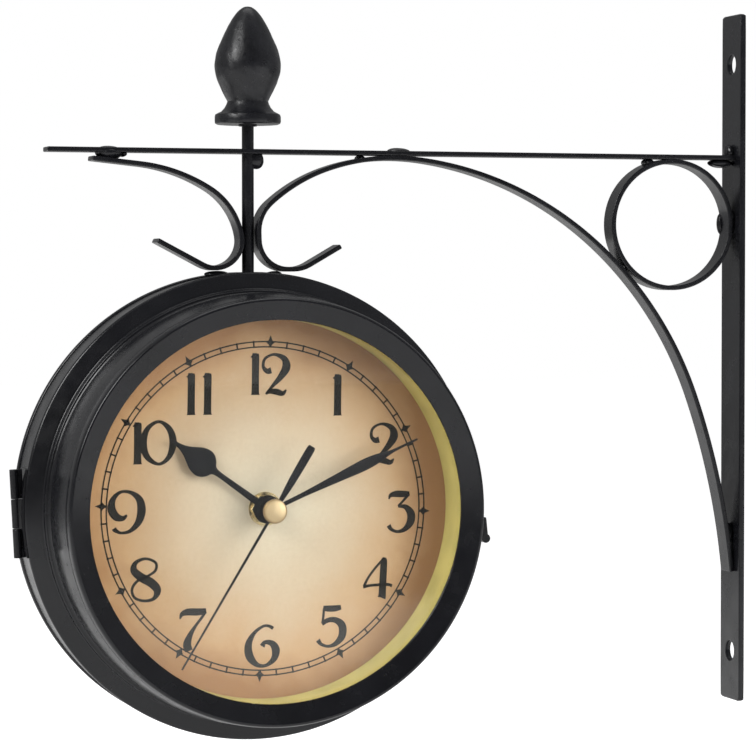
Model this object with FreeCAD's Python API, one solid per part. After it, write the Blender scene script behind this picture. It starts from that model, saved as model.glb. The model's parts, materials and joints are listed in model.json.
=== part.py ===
import FreeCAD, Part
import math
import os
from FreeCAD import Vector

# Double sided station clock on a wall bracket.
# Millimetres, +Z up. The wall is the plane x = 0, and the clock hangs on its -X side.
# The origin is on the wall, on the bracket's centre plane, midway between the two screw holes.
# The front dial faces -Y and the rear dial faces +Y.

# ---------------------------------------------------------------- driving dimensions
# Wall bracket, made of two sizes of flat steel bar
WALL_BAR_LENGTH = 300.0
WALL_BAR_WIDTH = 20.0
WALL_BAR_THICK = 2.5
WALL_BAR_CORNER_R = 2.0
SCREW_SPACING = 257.0
SCREW_HOLE_R = 4.25
STRIP_WIDTH = 10.0
STRIP_THICK = 2.0
TOP_BAR_END_X = -307.0
TOP_BAR_TOP_Z = 88.7
RING_OUTER_R = 28.4
RING_X = -32.0

# The bent strips leave the point where each is welded under the top bar.
# Each row of a bend is (radius of the strip's middle line, turn in degrees), or (None, length) for a
# straight stretch. The left scroll's start is (x, z, heading in degrees).
ARCH_WELD_X = -158.7
ARCH_BENDS = [(104.0, 7.8), (151.0, 35.0), (158.2, 27.1), (317.8, 14.4)]
SCROLL_BENDS = [(89.8, 19.3), (71.5, 22.7), (15.9, 50.0), (None, 3.18), (12.4, 88.0), (None, 2.53),
                (14.0, 29.9)]
SCROLL_TAIL = 15.6
LEFT_START = (-288.3, 84.2, -6.0)
LEFT_BENDS = [(None, 20.5), (69.9, -25.5), (28.9, -48.5), (11.3, -127.6)]
LEFT_TAIL = 21.9

# Post and finial
POST_X = -221.5
POST_R = 2.5
POST_BOTTOM_Z = 22.0
POST_TOP_Z = 116.0
FINIAL_BOTTOM_Z = 99.0

# Drum. Depths are measured from the drum's middle plane towards either dial.
CLOCK_Z = -59.4
SHEET = 1.2
BAND_R = 96.2
BAND_HALF_WIDTH = 8.7
RIM_R = 97.0
FRONT_EDGE_R = 85.3
FRONT_EDGE_DEPTH = 52.0
OPENING_R = 77.6
OPENING_DEPTH = 48.4
LENS_R = 83.4
LENS_FRONT = 46.8
LENS_THICK = 2.0
DEPTH_RING_R = 78.0
DIAL_FACE = 26.0
DIAL_THICK = 1.0
DIAL_R = 82.0

# Quartz movement, one behind each dial
CASE_HALF = 28.0
CASE_WALL = 1.2
CASE_FRONT = DIAL_FACE - DIAL_THICK - 0.1
CASE_BACK = 8.9
BUSH_R = 3.9
BUSH_END = 28.7
BUSH_SPACE = 0.1
BUSH_WASHER = 0.5
BATTERY_R = 7.15
BATTERY_LENGTH = 49.5
BATTERY_DROP = 18.5
BATTERY_DEPTH = 16.4
BAY_WALL_DROP = 10.6
WHEEL_THICK = 1.4
WHEEL_CENTRES = 12.0
CANNON_TEETH = 12
MINUTE_WHEEL_TEETH = 36
MINUTE_PINION_TEETH = 10
HOUR_WHEEL_TEETH = 40
SECOND_WHEEL_TEETH = 60
SECOND_WHEEL_R = 6.6
SECOND_LAYER = 14.0
MINUTE_LAYER = 17.4
HOUR_LAYER = 20.6
SECOND_ARBOR_R = 0.7
MINUTE_TUBE_R = 1.7
HOUR_PIPE_R = 2.6
SETTING_ARBOR_R = 1.0
KNOB_R = 4.0
KNOB_LENGTH = 3.0
RUNNING_GAP = 0.05

# Hands, at the time shown: 10:11, seconds at 35
HOUR_ANGLE = 305.8
MINUTE_ANGLE = 65.8
SECOND_ANGLE = 211.5
HAND_SHEET = 0.5
HOUR_HAND_DEPTH = 29.3
MINUTE_HAND_DEPTH = 35.4
SECOND_HAND_DEPTH = 40.4
CAP_R = 5.0

# Door hinge and catch
HINGE_DROP_DEG = 0.63
HINGE_LEAN_DEG = 2.27
HINGE_LENGTH = 36.0
HINGE_KNUCKLE_R = 1.7
HINGE_PIN_R = 0.9
HINGE_AXIS_R = 99.9
HINGE_AXIS_DEPTH = 9.0
HINGE_MIDDLE_HALF = 6.0
LEAF_SHEET = 0.8
CATCH_PIVOT_R = 99.0
CATCH_PIVOT_W = -1.0
CATCH_WIDTH = 9.0
CATCH_LENGTH = 15.0
CATCH_REACH = 7.0
CATCH_PIN_R = 0.8

PARTS_DIR = "parts"
os.makedirs(PARTS_DIR, exist_ok=True)

CLOCK_CENTRE = Vector(POST_X, 0, CLOCK_Z)
Y_AXIS = Vector(0, 1, 0)
Z_AXIS = Vector(0, 0, 1)
STRIP_HALF = STRIP_WIDTH / 2
TOP_BAR_UNDER_Z = TOP_BAR_TOP_Z - STRIP_THICK


# ---------------------------------------------------------------- helpers
def save(name, shape):
    """Write one sub-part to its own STEP file."""
    shape.exportStep(PARTS_DIR + "/" + name + ".step")


def block(x0, x1, y0, y1, z0, z1):
    """Box between two opposite corners."""
    return Part.makeBox(x1 - x0, y1 - y0, z1 - z0, Vector(x0, y0, z0))


def fuse_all(shapes):
    """One solid from touching or overlapping shapes."""
    joined = shapes[0]
    for shape in shapes[1:]:
        joined = joined.fuse(shape)
    return joined.removeSplitter()


def disc(r, d0, d1, u=0.0, w=0.0):
    """Cylinder along the drum's axis on the front side, from depth d0 to d1.

    u is to the right of the drum's centre and w above it."""
    start = CLOCK_CENTRE + Vector(u, -d1, w)
    return Part.makeCylinder(r, d1 - d0, start, Y_AXIS)


def tube(r_out, r_in, d0, d1, u=0.0, w=0.0):
    """Pipe along the drum's axis on the front side."""
    return disc(r_out, d0, d1, u, w).cut(disc(r_in, d0 - 1, d1 + 1, u, w))


def revolve_front(edges):
    """Turn a closed profile of (radius, depth) edges about the drum's axis."""
    face = Part.Face(Part.Wire(edges))
    return face.revolve(CLOCK_CENTRE, Y_AXIS, 360)


def profile_point(r, d):
    """Point of a front side profile, on the right of the drum's axis."""
    return CLOCK_CENTRE + Vector(r, -d, 0)


def profile_edges(steps):
    """Closed loop of lines and three point arcs from (r, d) or (r_mid, d_mid, r, d) steps."""
    edges = []
    last = profile_point(*steps[0])
    first = last
    for step in steps[1:]:
        here = profile_point(*step[-2:])
        if len(step) == 4:
            edges.append(Part.Arc(last, profile_point(*step[:2]), here).toShape())
        else:
            edges.append(Part.makeLine(last, here))
        last = here
    edges.append(Part.makeLine(last, first))
    return edges


def to_rear(shape):
    """The same piece on the rear side: half a turn about the post's line."""
    turned = shape.copy()
    turned.rotate(CLOCK_CENTRE, Z_AXIS, 180)
    return turned


# ---------------------------------------------------------------- bent strips
def bent_strip(x, z, heading, runs):
    """Flat strip bent on edge-view arcs, middle line starting at (x, z).

    heading is in degrees, runs are (radius, turn in degrees) with a left turn
    positive, or (None, length) for a straight stretch."""
    half = STRIP_THICK / 2
    stations = []
    h = math.radians(heading)
    for radius, amount in runs:
        if radius is None:
            mid = (x + amount / 2 * math.cos(h), z + amount / 2 * math.sin(h), h)
            end = (x + amount * math.cos(h), z + amount * math.sin(h), h)
        else:
            turn = math.radians(amount)
            side = math.copysign(radius, turn)
            cx, cz = x - side * math.sin(h), z + side * math.cos(h)
            mid, end = [(cx + side * math.sin(h + t), cz - side * math.cos(h + t), h + t)
                        for t in (turn / 2, turn)]
        stations.append(((x, z, h), mid, end, radius))
        x, z, h = end

    def offset(place, side):
        px, pz, ph = place
        return Vector(px - side * math.sin(ph), -STRIP_HALF, pz + side * math.cos(ph))

    def flank(side):
        edges = []
        for start, mid, end, radius in stations:
            a, b, c = [offset(place, side) for place in (start, mid, end)]
            edges.append(Part.makeLine(a, c) if radius is None else Part.Arc(a, b, c).toShape())
        return edges

    first, last = stations[0][0], stations[-1][2]
    caps = [Part.makeLine(offset(first, half), offset(first, -half)),
            Part.makeLine(offset(last, half), offset(last, -half))]
    outline = Part.Wire(Part.__sortEdges__(flank(half) + flank(-half) + caps))
    return Part.Face(outline).extrude(Vector(0, STRIP_WIDTH, 0))


def wall_bar():
    """Flat bar on the wall, corners eased, with two screw holes."""
    half = WALL_BAR_LENGTH / 2
    bar = block(-WALL_BAR_THICK, 0, -WALL_BAR_WIDTH / 2, WALL_BAR_WIDTH / 2, -half, half)
    corners = [e for e in bar.Edges if abs(e.tangentAt(e.FirstParameter).x) > 0.9]
    bar = bar.makeFillet(WALL_BAR_CORNER_R, corners)
    for side in (-1, 1):
        start = Vector(-WALL_BAR_THICK - 1, 0, side * SCREW_SPACING / 2)
        bar = bar.cut(Part.makeCylinder(SCREW_HOLE_R, WALL_BAR_THICK + 2, start, Vector(1, 0, 0)))
    return bar


def top_bar():
    """Flat arm from the wall bar to its free end, drilled for the post."""
    bar = block(TOP_BAR_END_X, -WALL_BAR_THICK, -STRIP_HALF, STRIP_HALF, TOP_BAR_UNDER_Z, TOP_BAR_TOP_Z)
    hole = Part.makeCylinder(POST_R, STRIP_THICK + 2, Vector(POST_X, 0, TOP_BAR_UNDER_Z - 1))
    return bar.cut(hole)


def arch_strip():
    """One strip: brace from the wall bar up to the top bar, then the right-hand scroll."""
    z = TOP_BAR_UNDER_Z - STRIP_THICK / 2
    brace = bent_strip(ARCH_WELD_X, z, 0, [(r, -turn) for r, turn in ARCH_BENDS])
    curl = bent_strip(ARCH_WELD_X, z, 180, SCROLL_BENDS + [(None, SCROLL_TAIL)])
    behind_face = block(-WALL_BAR_THICK, 40, -50, 50, -200, 200)
    return fuse_all([brace, curl]).cut(behind_face)


def left_scroll():
    """Mirror partner of the right-hand scroll, welded under the free end of the top bar."""
    return bent_strip(*LEFT_START, LEFT_BENDS + [(None, LEFT_TAIL)])


def support_ring():
    """Ring of strip in the corner between wall bar, top bar and arch."""
    z = TOP_BAR_UNDER_Z - RING_OUTER_R
    start = Vector(RING_X, -STRIP_HALF, z)
    outer = Part.makeCylinder(RING_OUTER_R, STRIP_WIDTH, start, Y_AXIS)
    return outer.cut(Part.makeCylinder(RING_OUTER_R - STRIP_THICK, STRIP_WIDTH, start, Y_AXIS))


def bead(x, z, size_x, size_z, size_y, y=0.0):
    """Lump of weld metal: an ellipsoid of the given full sizes about its centre."""
    ball = Part.makeSphere(1.0)
    matrix = FreeCAD.Matrix()
    matrix.scale(size_x / 2, size_y / 2, size_z / 2)
    ball = ball.transformGeometry(matrix)
    ball.translate(Vector(x, y, z))
    return ball


# ---------------------------------------------------------------- post and finial
def post():
    """Round rod from the drum's inside up into the finial."""
    return Part.makeCylinder(POST_R, POST_TOP_Z - POST_BOTTOM_Z, Vector(POST_X, 0, POST_BOTTOM_Z))


def finial():
    """Cast bud on a flared foot, turned about the post, with a blind hole for the rod."""
    def at(r, rise):
        return Vector(POST_X + r, 0, FINIAL_BOTTOM_Z + rise)

    bud = Part.BSplineCurve()
    bud.interpolate([at(8.5, 9.6), at(10.6, 13.8), at(13.0, 19.4), at(13.8, 25.0), at(12.6, 31.0),
                     at(8.9, 39.4), at(6.2, 44.2), at(3.2, 47.6), at(0, 49.0)])
    edges = [Part.makeLine(at(0, 0), at(12.8, 0)),
             Part.Arc(at(12.8, 0), at(13.5, 0.3), at(13.8, 1.0)).toShape(),
             Part.makeLine(at(13.8, 1.0), at(13.8, 3.4)),
             Part.Arc(at(13.8, 3.4), at(13.4, 4.3), at(12.6, 4.6)).toShape(),
             Part.Arc(at(12.6, 4.6), at(9.9, 6.4), at(8.5, 9.6)).toShape(),
             bud.toShape(),
             Part.makeLine(at(0, 49.0), at(0, 0))]
    body = Part.Face(Part.Wire(edges)).revolve(Vector(POST_X, 0, 0), Z_AXIS, 360)
    depth = POST_TOP_Z - FINIAL_BOTTOM_Z
    return body.cut(Part.makeCylinder(POST_R, depth, Vector(POST_X, 0, FINIAL_BOTTOM_Z)))


def post_nut():
    """Plain washer and hexagon nut that hold the band up on the post's lower end."""
    washer_r, washer_thick, nut_flats, nut_height = 5.2, 1.2, 8.0, 4.0
    inside_top = CLOCK_Z + math.sqrt((BAND_R - SHEET) ** 2 - washer_r ** 2)
    washer = Part.makeCylinder(washer_r, washer_thick, Vector(POST_X, 0, inside_top - washer_thick))
    nut = hexagon(nut_flats, nut_height)
    nut.rotate(Vector(0, 0, 0), Vector(1, 0, 0), 90)
    nut.translate(Vector(POST_X, 0, inside_top - washer_thick))
    hole = Part.makeCylinder(POST_R, 40, Vector(POST_X, 0, inside_top - 20))
    return Part.makeCompound([washer.cut(hole), nut.cut(hole)])


def hexagon(across_flats, height):
    """Hexagonal prism standing on y = 0 and running to y = -height."""
    corner_r = across_flats / math.sqrt(3)
    corners = [Vector(corner_r * math.cos(math.radians(60 * k)), 0,
                      corner_r * math.sin(math.radians(60 * k))) for k in range(6)]
    face = Part.Face(Part.makePolygon(corners + corners[:1]))
    return face.extrude(Vector(0, -height, 0))


# ---------------------------------------------------------------- drum shells
def case_band():
    """Middle hoop of the drum, fixed to the post; the rear shell closes its back."""
    hoop = tube(BAND_R, BAND_R - SHEET, -BAND_HALF_WIDTH, BAND_HALF_WIDTH)
    hole = Part.makeCylinder(POST_R, 20, Vector(POST_X, 0, CLOCK_Z + BAND_R - 10))
    return hoop.cut(hole)


def front_bezel():
    """Spun shell: skirt inside the band, rolled rim, shoulder, step, bulged wall and sloping lip.

    The steps run up the outside from the skirt to the lip, then back down the inside."""
    clearance, skirt_length = 0.3, 3.2
    skirt_r = BAND_R - SHEET - clearance
    skirt_back = BAND_HALF_WIDTH - skirt_length
    rim_back = BAND_HALF_WIDTH + clearance
    steps = [(skirt_r - SHEET, skirt_back),
             (skirt_r, skirt_back),
             (skirt_r, rim_back),
             (RIM_R - 1.0, rim_back),
             (RIM_R - 0.3, rim_back + 0.3, RIM_R, rim_back + 1.0),
             (RIM_R, rim_back + 2.6),
             (RIM_R - 0.3, rim_back + 3.4, RIM_R - 1.0, rim_back + 3.9),
             (90.9, 15.4),
             (90.1, 15.8, 89.8, 16.6),
             (89.8, 17.3),
             (89.5, 18.2, 88.7, 18.5),
             (87.6, 20.2, 88.2, 22.4),
             (88.5, 33.0, 87.0, 46.0),
             (86.7, 50.6, FRONT_EDGE_R, FRONT_EDGE_DEPTH),
             (OPENING_R, OPENING_DEPTH),
             (OPENING_R, OPENING_DEPTH - SHEET),
             (FRONT_EDGE_R - 0.9, FRONT_EDGE_DEPTH - 1.6),
             (85.7, 46.0),
             (87.2, 33.0, 86.9, 22.4),
             (86.4, 20.0),
             (86.9, 17.6),
             (88.6, 17.0),
             (88.8, 15.2),
             (RIM_R - 2.6, rim_back + 2.9),
             (skirt_r - SHEET, rim_back + 1.2)]
    return revolve_front(profile_edges(steps))


def lens():
    """Round glass behind the lip."""
    return disc(LENS_R, LENS_FRONT - LENS_THICK, LENS_FRONT)


def depth_ring():
    """Plastic wall between dial and glass, flanged at both ends."""
    back, front = DIAL_FACE, LENS_FRONT - LENS_THICK
    wall_thick, flange = 1.5, 1.2
    wall = tube(DEPTH_RING_R + wall_thick, DEPTH_RING_R, back, front)
    back_flange = tube(DIAL_R, DEPTH_RING_R, back, back + flange)
    front_flange = tube(LENS_R, DEPTH_RING_R, front - flange, front)
    return fuse_all([wall, back_flange, front_flange])


def dial():
    """Printed sheet dial with the hole for the movement's bush."""
    return tube(DIAL_R, BUSH_R + BUSH_SPACE, DIAL_FACE - DIAL_THICK, DIAL_FACE)


def dial_clips():
    """Four bent tabs, riveted inside the shell's wall, that press on the back of the dial."""
    clips = []
    foot_r, tip_r, half_width, sheet, wall_length = 86.7, 77.0, 4.0, 0.7, 5.0
    back = DIAL_FACE - DIAL_THICK
    for angle in (45, 135, 225, 315):
        wall = block(foot_r - sheet, foot_r, -half_width, half_width, back - sheet, back + wall_length)
        tab = block(tip_r, foot_r, -half_width, half_width, back - sheet, back)
        clip = fuse_all([wall, tab])
        clip.rotate(Vector(0, 0, 0), Vector(1, 0, 0), 90)
        clip.rotate(Vector(0, 0, 0), Y_AXIS, angle)
        clip.translate(CLOCK_CENTRE)
        clips.append(clip)
    return Part.makeCompound(clips)


# ---------------------------------------------------------------- quartz movement
def local_block(u0, u1, w0, w1, d0, d1):
    """Box in drum coordinates: u right, w up, d depth towards the front dial."""
    return block(POST_X + u0, POST_X + u1, -d1, -d0, CLOCK_Z + w0, CLOCK_Z + w1)


def movement_case():
    """Moulded tray with a battery bay along its foot and the threaded bush on its front."""
    h, t = CASE_HALF, CASE_WALL
    shell = local_block(-h, h, -h, h, CASE_BACK, CASE_FRONT)
    gear_bay = local_block(-h + t, h - t, -BAY_WALL_DROP, h - t, CASE_BACK - 1, CASE_FRONT - t)
    battery_bay = local_block(-h + t, h - t, -h + t, -BAY_WALL_DROP - 0.6, CASE_BACK - 1, CASE_FRONT - t)
    bush = disc(BUSH_R, CASE_FRONT - t, BUSH_END)
    bore = disc(HOUR_PIPE_R + RUNNING_GAP, CASE_FRONT - t - 1, BUSH_END + 1)
    return shell.cut(gear_bay).cut(battery_bay).fuse(bush).cut(bore).removeSplitter()


def movement_cover():
    """Back plate of the gear bay, with the hole for the setting arbor."""
    play = 0.1
    half = CASE_HALF - CASE_WALL - play
    plate = local_block(-half, half, -BAY_WALL_DROP + play, half, CASE_BACK, CASE_BACK + CASE_WALL)
    return plate.cut(disc(SETTING_ARBOR_R + RUNNING_GAP, 0, 20, 0, WHEEL_CENTRES))


def drive_unit():
    """Circuit board with its crystal can, and the coil of the stepping motor."""
    board = local_block(12.5, 26.0, -8.0, 26.0, 11.0, 12.2)
    crystal = Part.makeCylinder(1.5, 6.0, CLOCK_CENTRE + Vector(15.5, -13.7, 18.0), Vector(1, 0, 0))
    coil_u, coil_depth, coil_foot, coil_length, cheek = 20.0, 17.0, -6.0, 22.0, 1.2
    coil_line = CLOCK_CENTRE + Vector(coil_u, -coil_depth, 0)
    bobbin = Part.makeCylinder(4.0, coil_length, coil_line + Vector(0, 0, coil_foot), Z_AXIS)
    cheeks = [Part.makeCylinder(5.0, cheek, coil_line + Vector(0, 0, w), Z_AXIS)
              for w in (coil_foot - cheek, coil_foot + coil_length)]
    return Part.makeCompound([board, crystal, fuse_all([bobbin] + cheeks)])


def battery():
    """AA cell lying across the battery bay."""
    nub_r, nub_length = 2.6, 1.0
    start = CLOCK_CENTRE + Vector(-BATTERY_LENGTH / 2, -BATTERY_DEPTH, -BATTERY_DROP)
    can = Part.makeCylinder(BATTERY_R, BATTERY_LENGTH - nub_length, start, Vector(1, 0, 0))
    nub = Part.makeCylinder(nub_r, BATTERY_LENGTH, start, Vector(1, 0, 0))
    return can.fuse(nub).removeSplitter()


def battery_contacts():
    """Sprung contact strips at the two ends of the battery bay."""
    play, sheet, half_width = 0.1, 0.4, 5.0
    end = CASE_HALF - CASE_WALL - play
    contacts = []
    for side in (-1, 1):
        u_in, u_out = sorted((side * end, side * (end - sheet)))
        strip = local_block(u_in, u_out, -BATTERY_DROP - half_width, -BATTERY_DROP + half_width, 10.5, 22.0)
        reach = end - sheet - BATTERY_LENGTH / 2
        start = CLOCK_CENTRE + Vector(side * BATTERY_LENGTH / 2, -BATTERY_DEPTH, -BATTERY_DROP)
        dimple = Part.makeCone(1.5, 3.5, reach, start, Vector(side, 0, 0))
        contacts.append(strip.fuse(dimple).removeSplitter())
    return Part.makeCompound(contacts)


def bush_washer():
    """Brass washer on the dial face."""
    washer_r = 7.0
    return tube(washer_r, BUSH_R + BUSH_SPACE, DIAL_FACE, DIAL_FACE + BUSH_WASHER)


def bush_nut():
    """Hexagon nut that clamps the dial to the movement."""
    across_flats, height = 11.0, 1.6
    nut = hexagon(across_flats, height)
    nut.translate(CLOCK_CENTRE + Vector(0, -DIAL_FACE - BUSH_WASHER, 0))
    return nut.cut(disc(BUSH_R, 0, 60))


def gear(teeth, pitch_r, d0, d1, phase_deg, u=0.0, w=0.0):
    """Spur gear with tapered teeth, thinned for backlash, tooth 0 centred on phase_deg.

    Angles run from the right towards the top, seen from the front."""
    module = 2 * pitch_r / teeth
    tip_r, root_r = pitch_r + 0.75 * module, pitch_r - 1.05 * module
    pitch_angle = 2 * math.pi / teeth
    corners = []
    for k in range(teeth):
        centre = math.radians(phase_deg) + k * pitch_angle
        for share, r in ((-0.31, root_r), (-0.11, tip_r), (0.11, tip_r), (0.31, root_r)):
            a = centre + share * pitch_angle
            corners.append(CLOCK_CENTRE + Vector(u + r * math.cos(a), -d0, w + r * math.sin(a)))
    face = Part.Face(Part.makePolygon(corners + corners[:1]))
    return face.extrude(Vector(0, -(d1 - d0), 0))


def centre_pitch_r(teeth, mate_teeth):
    """Pitch radius of a gear that meshes over the wheel centre distance."""
    return WHEEL_CENTRES * teeth / (teeth + mate_teeth)


def minute_arbor():
    """Cannon pinion and the tube that carries the minute hand."""
    r = centre_pitch_r(CANNON_TEETH, MINUTE_WHEEL_TEETH)
    pinion = gear(CANNON_TEETH, r, MINUTE_LAYER - 0.4, MINUTE_LAYER + WHEEL_THICK + 0.4, 90.0)
    shaft = disc(MINUTE_TUBE_R, MINUTE_LAYER - 1.2, MINUTE_HAND_DEPTH + HAND_SHEET + 0.5)
    bore = disc(SECOND_ARBOR_R + RUNNING_GAP, 0, 60)
    return pinion.fuse(shaft).cut(bore).removeSplitter()


def minute_wheel():
    """Minute wheel with its pinion, on the arbor that the setting knob turns."""
    wheel_r = centre_pitch_r(MINUTE_WHEEL_TEETH, CANNON_TEETH)
    pinion_r = centre_pitch_r(MINUTE_PINION_TEETH, HOUR_WHEEL_TEETH)
    half_tooth = 180.0 / MINUTE_WHEEL_TEETH
    top = MINUTE_LAYER + WHEEL_THICK
    wheel = gear(MINUTE_WHEEL_TEETH, wheel_r, MINUTE_LAYER, top, 270.0 + half_tooth, 0, WHEEL_CENTRES)
    pinion = gear(MINUTE_PINION_TEETH, pinion_r, top, HOUR_LAYER + WHEEL_THICK + 0.3, 270.0,
                  0, WHEEL_CENTRES)
    arbor = disc(SETTING_ARBOR_R, CASE_BACK - 2.0, HOUR_LAYER + WHEEL_THICK + 1.0, 0, WHEEL_CENTRES)
    return fuse_all([wheel, pinion, arbor])


def hour_wheel():
    """Hour wheel and the pipe that carries the hour hand."""
    r = centre_pitch_r(HOUR_WHEEL_TEETH, MINUTE_PINION_TEETH)
    half_tooth = 180.0 / HOUR_WHEEL_TEETH
    wheel = gear(HOUR_WHEEL_TEETH, r, HOUR_LAYER, HOUR_LAYER + WHEEL_THICK, 90.0 + half_tooth)
    pipe = disc(HOUR_PIPE_R, HOUR_LAYER, HOUR_HAND_DEPTH + HAND_SHEET + 0.4)
    return wheel.fuse(pipe).cut(disc(MINUTE_TUBE_R + RUNNING_GAP, 0, 60)).removeSplitter()


def second_arbor():
    """Second wheel and its thin arbor through the minute tube."""
    wheel = gear(SECOND_WHEEL_TEETH, SECOND_WHEEL_R, SECOND_LAYER, SECOND_LAYER + 0.8, 90.0)
    arbor = disc(SECOND_ARBOR_R, SECOND_LAYER - 1.0, SECOND_HAND_DEPTH + HAND_SHEET)
    return wheel.fuse(arbor).removeSplitter()


def setting_knob():
    """Fluted knob on the setting arbor, outside the back cover."""
    front = CASE_BACK - 0.4
    flute_r, flute_circle_r, flutes = 0.45, KNOB_R + 0.1, 12
    knob = disc(KNOB_R, front - KNOB_LENGTH, front, 0, WHEEL_CENTRES)
    for k in range(flutes):
        a = 2 * math.pi * k / flutes
        u, w = flute_circle_r * math.cos(a), WHEEL_CENTRES + flute_circle_r * math.sin(a)
        knob = knob.cut(disc(flute_r, 0, 20, u, w))
    return knob.cut(disc(SETTING_ARBOR_R, CASE_BACK - 2.0, 20, 0, WHEEL_CENTRES))


# ---------------------------------------------------------------- hands
def hand(half_outline, hub_r, bore_r, d0, angle):
    """Flat hand: a mirrored outline of (half width, distance from the axis) points, and a round hub.

    angle is clockwise from 12, seen from the front."""
    right = [Vector(x, 0, z) for x, z in half_outline]
    left = [Vector(-x, 0, z) for x, z in reversed(half_outline) if x > 0.01]
    corners = right + left
    blade = Part.Face(Part.makePolygon(corners + corners[:1])).extrude(Vector(0, -HAND_SHEET, 0))
    hub = Part.makeCylinder(hub_r, HAND_SHEET, Vector(0, -HAND_SHEET, 0), Y_AXIS)
    bore = Part.makeCylinder(bore_r, 4, Vector(0, -2, 0), Y_AXIS)
    shape = blade.fuse(hub).removeSplitter().cut(bore)
    shape.rotate(Vector(0, 0, 0), Y_AXIS, angle)
    shape.translate(CLOCK_CENTRE + Vector(0, -d0, 0))
    return shape


def hour_hand():
    """Spade hand: slim stem, broad heart with square shoulders, fine blunt tip."""
    outline = [(1.5, -4.0), (1.5, 4.0), (1.35, 10.0), (1.2, 18.0), (1.15, 24.5), (1.7, 27.6), (3.6, 29.0),
               (5.3, 31.0), (5.9, 33.5), (5.2, 36.6), (3.7, 39.2), (2.3, 41.6), (1.3, 44.2), (0.8, 47.0),
               (0.5, 49.7)]
    return hand(outline, 5.8, HOUR_PIPE_R, HOUR_HAND_DEPTH, HOUR_ANGLE)


def minute_hand():
    """Leaf hand: widens to two thirds of its length and tapers to a fine blunt tip."""
    outline = [(0.9, -4.0), (0.9, 0.0), (0.95, 14.0), (1.4, 24.0), (1.8, 32.0), (2.2, 39.0), (2.35, 44.0),
               (2.0, 49.0), (1.2, 53.5), (0.65, 57.0), (0.5, 62.0), (0.4, 68.5)]
    return hand(outline, 5.2, MINUTE_TUBE_R, MINUTE_HAND_DEPTH, MINUTE_ANGLE)


def second_hand():
    """Needle with a broader counterweight."""
    outline = [(1.3, -30.5), (1.7, -29.0), (1.75, -22.0), (1.5, -13.0), (1.0, -6.0), (0.65, 0.0),
               (0.5, 30.0), (0.35, 74.0)]
    return hand(outline, 4.4, SECOND_ARBOR_R, SECOND_HAND_DEPTH, SECOND_ANGLE)


def centre_cap():
    """Domed brass cap pressed on the second hand's hub."""
    base = SECOND_HAND_DEPTH + HAND_SHEET
    crown_r, crown_rise = CAP_R - 1.0, 0.5
    sphere_r = (crown_r ** 2 + crown_rise ** 2) / (2 * crown_rise)
    mid_drop = sphere_r - math.sqrt(sphere_r ** 2 - (crown_r / 2) ** 2)
    top = base + 1.7 + crown_rise
    steps = [(0, base), (CAP_R, base), (CAP_R, base + 0.7),
             (CAP_R - 0.29, base + 1.41, crown_r, base + 1.7),
             (crown_r / 2, top - mid_drop, 0, top)]
    return revolve_front(profile_edges(steps))


# ---------------------------------------------------------------- hinge and catch
def place_hinge(shape):
    """Move a piece made about the Z axis onto the hinge line beside the drum, its top leaning outwards."""
    placed = shape.copy()
    placed.rotate(Vector(0, 0, 0), Y_AXIS, -HINGE_LEAN_DEG)
    placed.translate(Vector(-HINGE_AXIS_R, -HINGE_AXIS_DEPTH, 0))
    placed.rotate(Vector(0, 0, 0), Y_AXIS, -HINGE_DROP_DEG)
    placed.translate(CLOCK_CENTRE)
    return placed


def hinge_rod(r, z0, z1):
    """Cylinder about the hinge line between two heights on it."""
    return place_hinge(Part.makeCylinder(r, z1 - z0, Vector(0, 0, z0)))


def curved_plate(r_in, r_out, d0, d1):
    """Part of a hoop about the drum's axis, at the hinge and as long as the hinge."""
    hoop = tube(r_out, r_in, d0, d1)
    half = HINGE_LENGTH / 2
    window = block(-r_out - 5, -r_in / 2, -60, 60, -half, half)
    window.rotate(Vector(0, 0, 0), Y_AXIS, -HINGE_DROP_DEG)
    window.translate(CLOCK_CENTRE)
    return hoop.common(window)


def hinge_leaf(plate, web_reach, web_side, own_spans, other_spans):
    """Plate with knuckles rolled on its own spans and cut clear of the other leaf's knuckles."""
    leaf = plate
    for z0, z1 in other_spans:
        leaf = leaf.cut(hinge_rod(HINGE_KNUCKLE_R + 0.4, z0 - 0.3, z1 + 0.3))
    y0, y1 = sorted((web_side * 0.2, web_side * 1.5))
    for z0, z1 in own_spans:
        web = place_hinge(block(0, web_reach, y0, y1, z0, z1))
        leaf = leaf.fuse(web).fuse(hinge_rod(HINGE_KNUCKLE_R, z0, z1))
    bore = hinge_rod(HINGE_PIN_R + RUNNING_GAP, -HINGE_LENGTH, HINGE_LENGTH)
    return leaf.cut(bore).removeSplitter()


def hinge_pieces():
    """Case leaf with two knuckles, door leaf with one, and the pin."""
    half, middle, gap = HINGE_LENGTH / 2, HINGE_MIDDLE_HALF, 0.15
    case_spans = [(-half, -middle - gap), (middle + gap, half)]
    door_spans = [(-middle + gap, middle - gap)]
    case_plate = curved_plate(BAND_R, BAND_R + LEAF_SHEET, -1.0, BAND_HALF_WIDTH - 0.6)
    door_plate = curved_plate(RIM_R, RIM_R + LEAF_SHEET, HINGE_AXIS_DEPTH + 0.2, HINGE_AXIS_DEPTH + 2.9)
    case_leaf = hinge_leaf(case_plate, HINGE_AXIS_R - BAND_R - 0.1, 1, case_spans, door_spans)
    door_leaf = hinge_leaf(door_plate, HINGE_AXIS_R - BAND_R - 0.95, -1, door_spans, case_spans)
    return case_leaf, door_leaf, hinge_rod(HINGE_PIN_R, -half, half)


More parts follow.
